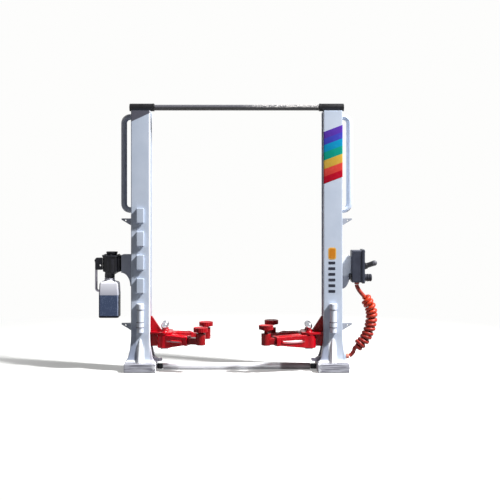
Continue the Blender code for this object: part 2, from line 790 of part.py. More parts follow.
def build_carriage(side, red):
    """Slider, neck, pivot plate, triangular web and the two pin collars, joined."""
    name = f"{SIDE_NAMES[side]}_carriage"
    outer = POST_OUTSIDE - POST_WALL - RUNNING_GAP
    inner = HALF_INSIDE + POST_WALL + RUNNING_GAP
    slider_size = (
        outer - inner,
        POST_DEPTH - 2 * POST_WALL - 2 * RUNNING_GAP,
        SLIDER_HEIGHT,
    )
    slider = block(
        (side * (outer + inner) / 2, 0.0, SLIDER_FOOT + SLIDER_HEIGHT / 2),
        slider_size,
        0.4 * MM,
    )
    carriage = mesh_object(name, slider, red)
    neck_inner = HALF_INSIDE - NECK_REACH
    neck_outer = inner + UNION_LAP
    neck = block(
        (side * (neck_outer + neck_inner) / 2, 0.0, (NECK_FOOT + PLATE_TOP - 0.3 * MM) / 2),
        (
            neck_outer - neck_inner,
            SLOT_WIDTH - 2 * RUNNING_GAP,
            PLATE_TOP - 0.3 * MM - NECK_FOOT,
        ),
    )
    boolean(carriage, mesh_object(f"{name}_neck", neck, None, helper=True), "UNION")
    lobe = PLATE_CORNER
    outline = [(HALF_INSIDE - SEAT_GAP, -POST_DEPTH / 2 + 1 * MM)]
    outline += [
        (PIN_DISTANCE - d, -PIN_SPACING / 2 + y) for d, y in arc((0, 0), lobe, -100, 0, 7)
    ]
    outline += [
        (PIN_DISTANCE - d, PIN_SPACING / 2 + y) for d, y in arc((0, 0), lobe, 0, 100, 7)
    ]
    outline += [(HALF_INSIDE - SEAT_GAP, POST_DEPTH / 2 - 1 * MM)]
    plate = prism(
        [(side * d, y, PLATE_FOOT) for d, y in outline], 0.0, PLATE_THICK, (0, 0, 1)
    )
    boolean(carriage, mesh_object(f"{name}_plate", plate, None, helper=True), "UNION")
    web_outline = [
        (neck_outer, PLATE_FOOT + 0.4 * MM),
        (HALF_INSIDE - WEB_REACH, PLATE_FOOT + 0.4 * MM),
        (HALF_INSIDE - WEB_REACH, PLATE_TOP + 0.4 * MM),
        (HALF_INSIDE - 1.2 * MM, WEB_TOP),
        (neck_outer, WEB_TOP),
    ]
    web = prism([(side * d, 0.0, z) for d, z in web_outline], -WEB_THICK / 2, WEB_THICK, (0, 1, 0))
    boolean(carriage, mesh_object(f"{name}_web", web, None, helper=True), "UNION")
    for end in (-1, 1):
        x, y = pin_place(side, end)
        collar = turned(
            [
                (COLLAR_RADIUS + 0.7 * MM, PLATE_TOP - UNION_LAP),
                (COLLAR_RADIUS + 0.5 * MM, PLATE_TOP + 0.4 * MM),
                (COLLAR_RADIUS, PLATE_TOP + 1.0 * MM),
                (COLLAR_RADIUS, PLATE_TOP + COLLAR_HEIGHT),
            ],
            (x, y, 0),
            steps=SMALL_ROUND_STEPS,
        )
        boolean(carriage, mesh_object(f"{name}_collar_{end}", collar, None, helper=True), "UNION")
    for end in (-1, 1):
        x, y = pin_place(side, end)
        bore = PIN_RADIUS + BORE_GAP
        drill = turned(
            [(bore, PLATE_FOOT - 1 * MM), (bore, PLATE_TOP + COLLAR_HEIGHT + 1 * MM)],
            (x, y, 0),
            steps=SMALL_ROUND_STEPS,
        )
        cutter = mesh_object(f"{name}_bore_{end}", drill, None, helper=True)
        boolean(carriage, cutter, "DIFFERENCE")
    return carriage


def build_pin(name, side, end, steel):
    """A turned pin: head under the arm, shank through it, ball on top."""
    x, y = pin_place(side, end)
    head_top = ARM_FOOT - SEAT_GAP
    collar_top = PLATE_TOP + COLLAR_HEIGHT
    ball_centre = collar_top + SEAT_GAP + BALL_RADIUS * 0.86
    lower = math.degrees(math.asin(0.86))
    profile = [
        (PIN_HEAD_RADIUS - 0.3 * MM, head_top - PIN_HEAD_HEIGHT),
        (PIN_HEAD_RADIUS, head_top - PIN_HEAD_HEIGHT + 0.3 * MM),
        (PIN_HEAD_RADIUS, head_top),
        (PIN_RADIUS, head_top + 0.001 * MM),
        (PIN_RADIUS, collar_top + SEAT_GAP),
    ]
    for step in range(10):
        angle = math.radians(-lower + (lower + 83) * (step + 0.5) / 10)
        profile.append((BALL_RADIUS * math.cos(angle), ball_centre + BALL_RADIUS * math.sin(angle)))
    bm = turned(profile, (x, y, 0), steps=SMALL_ROUND_STEPS)
    return mesh_object(f"{name}_pin", bm, steel)


def arm_frame(side, end, swing_deg):
    """The matrix that lays an arm, modelled along +X, on its pin."""
    x, y = pin_place(side, end)
    facing = 0.0 if side < 0 else 180.0
    turn = swing_deg * end * (1 if side < 0 else -1)
    rotation = Matrix.Rotation(math.radians(facing + turn), 4, "Z")
    return Matrix.Translation((x, y, 0)) @ rotation


def place_on_pin(thing, side, end, swing_deg):
    """Puts an object with its origin on the pin's axis."""
    thing.matrix_world = arm_frame(side, end, swing_deg)
    return thing


def sleeve_section(along, half_width, foot, top):
    """A section of the sleeve across its length, with chamfered corners."""
    edge = ARM_EDGE
    return [
        Vector((along, y, z))
        for y, z in (
            (-half_width, foot + edge),
            (-half_width + edge, foot),
            (half_width - edge, foot),
            (half_width, foot + edge),
            (half_width, top - edge),
            (half_width - edge, top),
            (-half_width + edge, top),
            (-half_width, top - edge),
        )
    ]


def side_panel(side_sign, length, half_width, foot):
    """The cutter of a recessed panel and the raised oval in it, on one side of a sleeve."""
    start = PANEL_START
    end = length - PANEL_END_MARGIN
    middle = ((start + end) / 2, foot + PANEL_ABOVE_FOOT + PANEL_HEIGHT / 2)
    floor = half_width - PANEL_DEPTH
    pocket = rounded_rectangle((end - start) / 2, PANEL_HEIGHT / 2, PANEL_CORNER, 2)
    oval_half = (end - start) / 2 - OVAL_MARGIN
    cutter = prism(
        [(middle[0] + a, side_sign * floor, middle[1] + b) for a, b in pocket],
        0.0,
        2 * PANEL_DEPTH,
        (0, side_sign, 0),
    )
    rings = []
    for shrink, distance in (
        (0.0, floor - UNION_LAP),
        (0.0, half_width),
        (OVAL_ROUND, half_width + OVAL_PROUD),
    ):
        half_high = OVAL_HEIGHT / 2 - shrink
        shape = rounded_rectangle(oval_half - shrink, half_high, half_high * OVAL_CORNER_SHARE, 4)
        rings.append([Vector((middle[0] + a, side_sign * distance, middle[1] + b)) for a, b in shape])
    return cutter, loft(rings)


def top_ridge(side_sign, length):
    """One of the two ridges that run together along the top of a sleeve."""
    rings = []
    for along, across, top in (
        (RIDGE_START, side_sign * RIDGE_SPREAD, ARM_TOP + RIDGE_RISE),
        (length - UNION_LAP, side_sign * RIDGE_WIDTH / 4, ARM_TOP - RIDGE_RISE),
    ):
        foot = top - 2 * UNION_LAP - RIDGE_RISE
        rings.append(
            [
                Vector((along, across - RIDGE_WIDTH / 2, foot)),
                Vector((along, across + RIDGE_WIDTH / 2, foot)),
                Vector((along, across + RIDGE_WIDTH / 4, top)),
                Vector((along, across - RIDGE_WIDTH / 4, top)),
            ]
        )
    return loft(rings)


def build_sleeve(name, side, end, swing_deg, length, red):
    """The outer arm: a round knuckle that runs into a hollow box."""
    end_top = ARM_TOP - ARM_END_DROP
    end_foot = end_top - ARM_END_HEIGHT
    half = ARM_END_WIDTH / 2
    side_half = half - SLEEVE_LIP
    lip_foot = end_foot - SLEEVE_LIP
    lip_top = end_top + SLEEVE_LIP
    rings = [
        sleeve_section(0.0, side_half, ARM_FOOT, ARM_TOP),
        sleeve_section(length * SLEEVE_WAIST, side_half, ARM_FOOT + SLEEVE_LIP * 4, ARM_TOP),
        sleeve_section(length - SLEEVE_LIP_LENGTH, side_half, end_foot, end_top),
        sleeve_section(length - SLEEVE_LIP_LENGTH + SLEEVE_LIP, half, lip_foot, lip_top),
        sleeve_section(length, half, lip_foot, lip_top),
    ]
    sleeve = mesh_object(f"{name}_arm", loft(rings), red)
    knuckle = turned(
        [
            (KNUCKLE_RADIUS - SLEEVE_EDGE, ARM_FOOT),
            (KNUCKLE_RADIUS, ARM_FOOT + SLEEVE_EDGE),
            (KNUCKLE_RADIUS, ARM_TOP - SLEEVE_EDGE),
            (KNUCKLE_RADIUS - SLEEVE_EDGE, ARM_TOP),
        ],
        (0, 0, 0),
    )
    helpers = [(mesh_object(f"{name}_knuckle", knuckle, None, helper=True), "UNION")]
    for side_sign, label in ((-1, "near"), (1, "far")):
        cutter, raised = side_panel(side_sign, length, side_half, ARM_FOOT)
        pocket = mesh_object(f"{name}_panel_{label}", cutter, None, helper=True)
        oval = mesh_object(f"{name}_oval_{label}", raised, None, helper=True)
        ridge = mesh_object(f"{name}_ridge_{label}", top_ridge(side_sign, length), None, helper=True)
        helpers += [(pocket, "DIFFERENCE"), (oval, "UNION"), (ridge, "UNION")]
    bore = PIN_RADIUS + BORE_GAP
    drill = turned(
        [(bore, ARM_FOOT - CUT_MARGIN), (bore, ARM_TOP + CUT_MARGIN)], (0, 0, 0), steps=SMALL_ROUND_STEPS
    )
    helpers.append((mesh_object(f"{name}_pin_bore", drill, None, helper=True), "DIFFERENCE"))
    channel = block(
        ((BORE_START + length + CUT_MARGIN) / 2, 0.0, end_foot + ARM_END_HEIGHT / 2),
        (
            length + CUT_MARGIN - BORE_START,
            BAR_WIDTH + 2 * BORE_GAP,
            BAR_HEIGHT + 2 * BORE_GAP,
        ),
    )
    helpers.append((mesh_object(f"{name}_channel", channel, None, helper=True), "DIFFERENCE"))
    for helper, operation in helpers:
        place_on_pin(helper, side, end, swing_deg)
        boolean(sleeve, helper, operation)
    return place_on_pin(sleeve, side, end, swing_deg)


def build_inner_arm(name, side, end, swing_deg, reach, red):
    """The sliding inner arm with the pad's socket on its end."""
    middle = ARM_TOP - ARM_END_DROP - ARM_END_HEIGHT / 2
    foot = middle - BAR_HEIGHT / 2
    bar = block(
        ((BAR_TAIL + reach) / 2, 0.0, middle),
        (reach - BAR_TAIL, BAR_WIDTH, BAR_HEIGHT),
        SLEEVE_EDGE,
    )
    arm = mesh_object(f"{name}_inner_arm", bar, red)
    socket_foot = foot - SOCKET_DROP
    edge = SLEEVE_EDGE
    socket = turned(
        [
            (SOCKET_RADIUS - edge, socket_foot),
            (SOCKET_RADIUS, socket_foot + edge),
            (SOCKET_RADIUS, socket_foot + SOCKET_HEIGHT - edge),
            (SOCKET_RADIUS - edge, socket_foot + SOCKET_HEIGHT),
        ],
        (reach, 0, 0),
        steps=SOCKET_STEPS,
    )
    drill = turned(
        [
            (STEM_RADIUS + BORE_GAP, socket_foot + SOCKET_FLOOR),
            (STEM_RADIUS + BORE_GAP, socket_foot + SOCKET_HEIGHT + CUT_MARGIN),
        ],
        (reach, 0, 0),
        steps=SMALL_ROUND_STEPS,
    )
    for helper, operation in (
        (mesh_object(f"{name}_socket", socket, None, helper=True), "UNION"),
        (mesh_object(f"{name}_socket_bore", drill, None, helper=True), "DIFFERENCE"),
    ):
        place_on_pin(helper, side, end, swing_deg)
        boolean(arm, helper, operation)
    place_on_pin(arm, side, end, swing_deg)
    return socket_foot + SOCKET_HEIGHT


def build_pad(name, side, end, swing_deg, reach, raised, socket_top, red):
    """The round pad on its threaded stem; its origin is on the stem's axis."""
    foot = socket_top + SEAT_GAP + raised
    stem_foot = foot - STEM_LENGTH
    edge = 0.4 * MM
    top = foot + PAD_NECK_HEIGHT + PAD_THICK
    profile = [
        (STEM_RADIUS - 0.3 * MM, stem_foot),
        (STEM_RADIUS, stem_foot + 0.3 * MM),
        (STEM_RADIUS, foot),
        (PAD_NECK_RADIUS, foot + 0.01 * MM),
        (PAD_NECK_RADIUS, foot + PAD_NECK_HEIGHT),
        (PAD_RADIUS - edge, foot + PAD_NECK_HEIGHT + 0.01 * MM),
        (PAD_RADIUS, foot + PAD_NECK_HEIGHT + edge),
        (PAD_RADIUS, top - edge),
        (PAD_RADIUS - edge, top),
    ]
    pad = mesh_object(f"{name}_pad", turned(profile, (0, 0, 0)), red)
    pad.matrix_world = arm_frame(side, end, swing_deg) @ Matrix.Translation((reach, 0, 0))
    return pad


def bracket(side, top, reach, setback, edge_height, curve_height, hollow):
    """A plate beside a post: square at its top, with a hollow or a round curve in below."""
    inner = POST_OUTSIDE + SEAT_GAP
    outer = POST_OUTSIDE + reach
    knee = top - edge_height
    foot = knee - curve_height
    sweep = outer - inner - 1.2 * MM
    outline = [(inner, foot), (inner, top)]
    outline += [
        (outer - BRACKET_CORNER + d, top - BRACKET_CORNER + z)
        for d, z in reversed(arc((0, 0), BRACKET_CORNER, 0, 90))
    ]
    for step in range(BRACKET_STEPS + 1):
        turn = step / BRACKET_STEPS * math.pi / 2
        inward, down = 1 - math.cos(turn), math.sin(turn) ** 1.6
        if hollow:
            inward, down = math.sin(turn), 1 - math.cos(turn)
        outline.append((outer - sweep * inward, knee - curve_height * down))
    return prism(
        [(side * d, 0.0, z) for d, z in outline], setback - BRACKET_THICK / 2, BRACKET_THICK, (0, 1, 0)
    )


def ring_at(x, y, z, radius, steps, rib=0.0):
    """A ring of points; with a rib depth, every second pair of points stands in."""
    points = []
    for step in range(steps):
        angle = 2 * math.pi * step / steps
        r = radius - (rib if step % RIB_POINTS >= RIB_POINTS // 2 else 0.0)
        points.append(Vector((x + r * math.cos(angle), y + r * math.sin(angle), z)))
    return points


def build_power_unit(paint, black, tank_finish, wire_finish):
    """Bracket, motor with its funnel, switch, tank and wire handle on the left post."""
    side = -1
    outline = bracket(
        side,
        LEFT_BRACKET_TOP,
        LEFT_BRACKET_REACH,
        0.0,
        LEFT_BRACKET_EDGE,
        LEFT_BRACKET_CURVE,
        hollow=True,
    )
    mesh_object("power_bracket", outline, paint)
    bracket_outer = POST_OUTSIDE + LEFT_BRACKET_REACH
    motor_distance = bracket_outer + SEAT_GAP + MOTOR_RADIUS
    x = side * motor_distance
    tank_x = side * (motor_distance + TANK_SHIFT)
    steps = MOTOR_RIB_COUNT * RIB_POINTS
    top = MOTOR_FOOT + MOTOR_HEIGHT
    flange_top = top + MOTOR_FLANGE_HEIGHT
    step = 0.35 * MM
    rings = [
        ring_at(tank_x, 0, MOTOR_FOOT - FUNNEL_HEIGHT, FUNNEL_FOOT_RADIUS, steps),
        ring_at(tank_x, 0, MOTOR_FOOT - FUNNEL_HEIGHT * 0.45, FUNNEL_FOOT_RADIUS, steps),
        ring_at(x, 0, MOTOR_FOOT, FUNNEL_TOP_RADIUS, steps),
        ring_at(x, 0, MOTOR_FOOT + step, MOTOR_RADIUS - MOTOR_RIB, steps),
        ring_at(x, 0, MOTOR_FOOT + 2 * step, MOTOR_RADIUS, steps, MOTOR_RIB),
        ring_at(x, 0, top - step, MOTOR_RADIUS, steps, MOTOR_RIB),
        ring_at(x, 0, top, MOTOR_FLANGE_RADIUS - step, steps),
        ring_at(x, 0, top + step, MOTOR_FLANGE_RADIUS, steps),
        ring_at(x, 0, flange_top, MOTOR_FLANGE_RADIUS, steps),
        ring_at(x, 0, flange_top + 0.01 * MM, MOTOR_CAP_LOW_RADIUS, steps),
        ring_at(x, 0, flange_top + MOTOR_CAP_HEIGHT - step, MOTOR_CAP_TOP_RADIUS, steps),
        ring_at(x, 0, flange_top + MOTOR_CAP_HEIGHT, MOTOR_CAP_TOP_RADIUS - step, steps),
    ]
    motor = mesh_object("pump_motor", loft(rings), black)
    slab = (MOTOR_FLANGE_RADIUS, 4 * MOTOR_FLANGE_RADIUS, 4 * MOTOR_HEIGHT)
    cut_back = block((side * (bracket_outer + SEAT_GAP - slab[0] / 2), 0.0, top), slab)
    boolean(motor, mesh_object("pump_motor_flat", cut_back, None, helper=True), "DIFFERENCE")

    switch_inner = motor_distance + MOTOR_RADIUS + SEAT_GAP
    tip = switch_inner + SWITCH_LENGTH
    leg_outer = tip - SWITCH_STEP
    outline = [
        (switch_inner, SWITCH_FOOT),
        (switch_inner, SWITCH_TOP),
        (tip - SWITCH_POINT, SWITCH_TOP),
        (tip, SWITCH_TOP - SWITCH_HEAD_HEIGHT * 0.45),
        (leg_outer, SWITCH_TOP - SWITCH_HEAD_HEIGHT),
        (leg_outer, SWITCH_FOOT),
    ]
    switch = mesh_object(
        "motor_switch",
        prism([(side * d, 0.0, z) for d, z in outline], -SWITCH_DEPTH / 2, SWITCH_DEPTH, (0, 1, 0)),
        black,
    )
    hole_outer = leg_outer - SWITCH_LEG
    hole_inner = switch_inner + SWITCH_BACK
    hole_low = SWITCH_FOOT + SWITCH_BRIDGE
    hole_high = SWITCH_TOP - SWITCH_HEAD_HEIGHT
    hole = block(
        (side * (hole_outer + hole_inner) / 2, 0.0, (hole_low + hole_high) / 2),
        (hole_outer - hole_inner, SWITCH_DEPTH + 2 * CUT_MARGIN, hole_high - hole_low),
    )
    boolean(switch, mesh_object("motor_switch_hole", hole, None, helper=True), "DIFFERENCE")

    half = TANK_SIDE / 2
    half_deep = TANK_DEPTH / 2
    straight_top = TANK_FOOT + (TANK_SHOULDER - TANK_FOOT) * TANK_STRAIGHT_SHARE
    step_in = TANK_TAPER + TANK_SHOULDER_STEP
    flare = TANK_NECK_RADIUS + TANK_NECK_FLARE
    sections = [
        (TANK_FOOT, half - TANK_EDGE, half_deep - TANK_EDGE, TANK_CORNER),
        (TANK_FOOT + TANK_EDGE, half, half_deep, TANK_CORNER),
        (straight_top, half, half_deep, TANK_CORNER),
        (TANK_SHOULDER, half - TANK_TAPER, half_deep - TANK_TAPER, TANK_CORNER),
        (TANK_SHOULDER + TANK_SHOULDER_RISE, half - step_in, half_deep - step_in, TANK_CORNER),
        (TANK_TOP, flare, flare, TANK_NECK_RADIUS * 0.9),
        (TANK_TOP + TANK_NECK_STEP, TANK_NECK_RADIUS, TANK_NECK_RADIUS, TANK_NECK_RADIUS * 0.99),
        (TANK_TOP + TANK_NECK_LENGTH, TANK_NECK_RADIUS, TANK_NECK_RADIUS, TANK_NECK_RADIUS * 0.99),
    ]
    rings = []
    for z, half_a, half_b, corner in sections:
        ring = rounded_rectangle(half_a, half_b, corner, TANK_CORNER_STEPS)
        rings.append([Vector((tank_x + a, b, z)) for a, b in ring])
    mesh_object("oil_tank", loft(rings), tank_finish)

    wire_distance = tip - WIRE_RADIUS - WIRE_INSET
    tank_face = motor_distance + TANK_SHIFT + half
    bend = min(WIRE_BEND, wire_distance - tank_face - 2 * SEAT_GAP)
    path = [(wire_distance, SWITCH_FOOT - SEAT_GAP)]
    path += arc((wire_distance - bend, WIRE_FOOT + bend), bend, 0, -90, 5)
    path.append((tank_face + SEAT_GAP, WIRE_FOOT))
    points = [Vector((side * d, 0.0, z)) for d, z in path]
    tube("tank_wire_handle", points, WIRE_RADIUS, wire_finish, 2)


def build_control_box(paint, slate, black, rubber):
    """Bracket, box with its cover, knob, lever and round socket on the right post."""
    side = 1
    outline = bracket(
        side,
        RIGHT_BRACKET_TOP,
        RIGHT_BRACKET_REACH,
        RIGHT_BRACKET_SETBACK,
        RIGHT_BRACKET_EDGE,
        RIGHT_BRACKET_CURVE,
        hollow=False,
    )
    mesh_object("box_bracket", outline, paint)
    inner = POST_OUTSIDE + RIGHT_BRACKET_REACH + SEAT_GAP
    outer = inner + BOX_WIDTH
    middle = BOX_FOOT + BOX_HEIGHT / 2
    step = 0.3 * MM
    rings = []
    for distance, grow in (
        (inner, -step),
        (inner + step, 0.0),
        (outer - COVER_WIDTH, 0.0),
        (outer - COVER_WIDTH + 0.05 * MM, COVER_PROUD),
        (outer - step, COVER_PROUD),
        (outer, COVER_PROUD - step),
    ):
        shape = rounded_rectangle(BOX_DEPTH / 2 + grow, BOX_HEIGHT / 2 + grow, BOX_CORNER)
        rings.append([Vector((distance, a, middle + b)) for a, b in shape])
    mesh_object("control_box", loft(rings), slate)
    knob = turned(
        [
            (KNOB_RADIUS - 0.5 * MM, 0.0),
            (KNOB_RADIUS, 0.5 * MM),
            (KNOB_RADIUS, KNOB_LENGTH - 0.5 * MM),
            (KNOB_RADIUS - 0.6 * MM, KNOB_LENGTH),
        ],
        (inner - SEAT_GAP, KNOB_CENTRE_Y, KNOB_HEIGHT),
        (-1, 0, 0),
        SMALL_ROUND_STEPS,
    )
    mesh_object("box_knob", knob, black)

    tilt = math.radians(LEVER_LIFT_DEG)
    direction = Vector((math.cos(tilt), 0, math.sin(tilt)))
    root = Vector((outer + SEAT_GAP, 0, LEVER_ROOT_HEIGHT))
    length = (LEVER_REACH - LEVER_RADIUS) / direction.x
    lever = turned(
        [
            (LEVER_RADIUS + LEVER_COLLAR_PROUD, -LEVER_COLLAR_LENGTH),
            (LEVER_RADIUS + LEVER_COLLAR_PROUD, LEVER_COLLAR_LENGTH),
            (LEVER_RADIUS - LEVER_NECK_IN, LEVER_COLLAR_LENGTH + LEVER_COLLAR_PROUD),
            (LEVER_RADIUS - LEVER_NECK_IN, length * LEVER_SHAFT_SHARE),
            *dome(LEVER_RADIUS, length),
        ],
        root,
        direction,
        20,
    )
    lever_object = mesh_object("control_lever", lever, black)
    slab = (LEVER_REACH, 4 * LEVER_REACH, 2 * BOX_HEIGHT)
    behind = block((outer + SEAT_GAP - slab[0] / 2, 0.0, middle), slab)
    cutter = mesh_object("control_lever_flat", behind, None, helper=True)
    boolean(lever_object, cutter, "DIFFERENCE")

    profile = [(SOCKET_PLUG_RADIUS - 0.5 * MM, 0.0)]
    pitch = SOCKET_PLUG_LENGTH / SOCKET_PLUG_RIBS
    for rib in range(SOCKET_PLUG_RIBS):
        profile += [
            (SOCKET_PLUG_RADIUS, pitch * (rib + 0.2)),
            (SOCKET_PLUG_RADIUS, pitch * (rib + 0.7)),
            (SOCKET_PLUG_RADIUS - 0.5 * MM, pitch * (rib + 0.85)),
        ]
    profile.append((SOCKET_PLUG_RADIUS - 0.5 * MM, SOCKET_PLUG_LENGTH))
    socket = turned(profile, (outer + SEAT_GAP, 0, SOCKET_PLUG_CENTRE), (1, 0, 0), 20)
    mesh_object("box_socket", socket, rubber)
    return outer


def build_hose(box_outer, orange, pale):
    """Strain relief, upper lead, curled part, lower lead and ferrule."""
    relief_x = box_outer - COVER_WIDTH - RELIEF_FROM_BOX_EDGE
    relief = turned(
        [
            (RELIEF_TOP_RADIUS, 0.0),
            (RELIEF_TOP_RADIUS, RELIEF_SHOULDER),
            (RELIEF_FOOT_RADIUS, RELIEF_LENGTH),
        ],
        (relief_x, 0, BOX_FOOT - SEAT_GAP),
        (0, 0, -1),
        SMALL_ROUND_STEPS,
    )
    mesh_object("hose_relief", relief, orange)
    coil = [Vector((d, 0.0, z)) for d, z in HOSE_COIL_ROUTE]
    start = BOX_FOOT - 2 * SEAT_GAP - RELIEF_LENGTH
    upper = [Vector((relief_x, 0.0, start)), Vector((relief_x, 0.0, start - HOSE_RADIUS / 2))]
    upper += [Vector((d, 0.0, z)) for d, z in HOSE_UPPER_ROUTE]
    upper.append(coil[0] + (coil[0] - coil[1]).normalized() * SEAT_GAP)
    tube("hose_upper_lead", smooth_path(upper, HOSE_RADIUS), HOSE_RADIUS, orange, 2)
    tube("hose_coil", smooth_path(coil, HOSE_COIL_RADIUS), HOSE_COIL_RADIUS, orange, 3)
    boss_face = POST_OUTSIDE + HOSE_BOSS_REACH
    ferrule = turned(
        [
            (FERRULE_RADIUS, 0.0),
            (FERRULE_RADIUS, FERRULE_LENGTH - FERRULE_EDGE),
            (FERRULE_RADIUS - FERRULE_EDGE, FERRULE_LENGTH),
        ],
        (boss_face + SEAT_GAP, 0, HOSE_BOSS_HEIGHT),
        (1, 0, 0),
        SMALL_ROUND_STEPS,
    )
    mesh_object("hose_ferrule", ferrule, pale)
    end = boss_face + FERRULE_LENGTH + 2 * SEAT_GAP
    lower = [coil[-1] + (coil[-1] - coil[-2]).normalized() * SEAT_GAP]
    lower += [Vector((d, 0.0, z)) for d, z in HOSE_LOWER_ROUTE]
    lower.append(Vector((end + HOSE_RADIUS, 0.0, HOSE_BOSS_HEIGHT)))
    lower.append(Vector((end, 0.0, HOSE_BOSS_HEIGHT)))
    tube("hose_lower_lead", smooth_path(lower, HOSE_RADIUS), HOSE_RADIUS, orange, 2)


def main():
    clear_scene()
    paint = material("post_paint", (0.54, 0.60, 0.72), 0.45)
    base_finish = material("base_grey", (0.50, 0.52, 0.57), 0.6)
    red = material("arm_red", (0.56, 0.008, 0.012), 0.25)
    black = material("moulded_black", (0.012, 0.012, 0.018), 0.4)
    slate = material("box_slate", (0.045, 0.05, 0.07), 0.45)
    steel = material("bright_steel", (0.62, 0.64, 0.66), 0.2, 1.0)
    tank_finish = material("tank_paint", (0.16, 0.19, 0.28), 0.4)
    rubber = material("dark_rubber", (0.03, 0.03, 0.04), 0.6)
    bar_finish = material("floor_bar_grey", (0.62, 0.63, 0.68), 0.4)
    orange = material("orange_hose", (0.72, 0.08, 0.02), 0.4)
    pale = material("pale_ferrule", (0.72, 0.55, 0.50), 0.5)

    for side in SIDE_NAMES:
        build_base(side, base_finish)
        build_post(side, paint)
        build_relief_cylinder(side, paint)
        build_handle(side, paint)
        build_carriage(side, red)
    build_top_beam(black)
    build_floor_bar(bar_finish, black)
    for name, (side, end, swing_deg, sleeve, reach, raised) in ARMS.items():
        build_pin(name, side, end, steel)
        build_sleeve(name, side, end, swing_deg, sleeve, red)
        socket_top = build_inner_arm(name, side, end, swing_deg, reach, red)
        build_pad(name, side, end, swing_deg, reach, raised, socket_top, red)
    build_power_unit(paint, black, tank_finish, steel)
    box_outer = build_control_box(paint, slate, black, rubber)
    build_hose(box_outer, orange, pale)


main()
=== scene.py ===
"""Studio scene of a two post car lift, a display model of about 1:18.

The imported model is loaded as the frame. Its solids are finished by hand as smoothed pieces, the
fine parts that the solids leave out are added, and all of it stands in a plain pale studio.
Metres, +Z up. The front faces -Y, the power unit is at -X and the control box at +X.
"""

import json
import logging
import math
from bisect import bisect_left
from collections.abc import Callable, Sequence
from dataclasses import dataclass, field
from enum import Enum
from functools import cached_property

import bmesh
import bpy
from mathutils import Matrix, Vector

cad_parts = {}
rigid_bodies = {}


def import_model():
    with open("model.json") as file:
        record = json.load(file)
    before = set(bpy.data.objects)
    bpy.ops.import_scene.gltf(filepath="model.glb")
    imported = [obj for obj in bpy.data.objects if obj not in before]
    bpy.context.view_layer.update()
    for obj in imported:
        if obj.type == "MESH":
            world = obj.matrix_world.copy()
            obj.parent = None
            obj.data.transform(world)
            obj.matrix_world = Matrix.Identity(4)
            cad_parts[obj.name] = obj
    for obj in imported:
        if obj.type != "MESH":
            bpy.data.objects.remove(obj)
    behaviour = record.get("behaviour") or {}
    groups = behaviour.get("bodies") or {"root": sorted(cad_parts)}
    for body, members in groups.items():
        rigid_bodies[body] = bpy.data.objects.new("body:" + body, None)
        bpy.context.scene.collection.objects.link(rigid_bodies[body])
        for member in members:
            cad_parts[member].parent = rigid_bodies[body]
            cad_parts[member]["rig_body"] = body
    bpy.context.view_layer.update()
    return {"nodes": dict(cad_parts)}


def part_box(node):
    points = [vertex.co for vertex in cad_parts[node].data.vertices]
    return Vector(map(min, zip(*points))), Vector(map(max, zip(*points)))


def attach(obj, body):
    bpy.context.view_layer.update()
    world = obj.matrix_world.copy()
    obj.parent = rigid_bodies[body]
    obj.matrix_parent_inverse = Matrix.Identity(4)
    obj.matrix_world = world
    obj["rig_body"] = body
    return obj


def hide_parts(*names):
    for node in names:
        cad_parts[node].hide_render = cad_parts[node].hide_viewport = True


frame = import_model()

LOG = logging.getLogger("lift_scene")
MM = 0.001
SIDES = ("left", "right")
ARMS = ("left_front", "left_rear", "right_front", "right_rear")

# The right post's front face, as its inner and outer edge and its depth
POST_INNER = 76.5 * MM
POST_OUTER = 93.2 * MM
POST_FRONT = -11.0 * MM

Piece = bpy.types.Object
Node = bpy.types.Node
Socket = bpy.types.NodeSocket
Inputs = dict[str | int, object]
Pair = tuple[float, float]


def linear(hex_colour: str) -> tuple[float, float, float, float]:
    """Turns an sRGB hex value into a linear colour.

    Args:
        hex_colour: six hex digits after a hash sign.

    Returns:
        Linear red, green and blue, with an alpha of one.
    """
    parts = [int(hex_colour[index : index + 2], 16) / 255 for index in (1, 3, 5)]
    values = [part / 12.92 if part <= 0.04045 else ((part + 0.055) / 1.055) ** 2.4 for part in parts]
    return values[0], values[1], values[2], 1.0


def per_mm(size: float) -> float:
    """Gives the texture scale whose features are about this many millimetres."""
    return 1.0 / (size * MM)


def reach(value: Node | Socket, begin: float, full: float, most: float = 1.0) -> Inputs:
    """Gives the inputs of a range that rises from nothing to the most between two values."""
    return {"Value": value, "From Min": begin, "From Max": full, "To Max": most}


def unevenness(value: Node, smooth: float, rough: float) -> Inputs:
    """Gives the inputs of a range that turns a noise into a roughness between two others."""
    return {"Value": value, "From Min": 0.3, "From Max": 0.7, "To Min": smooth, "To Max": rough}


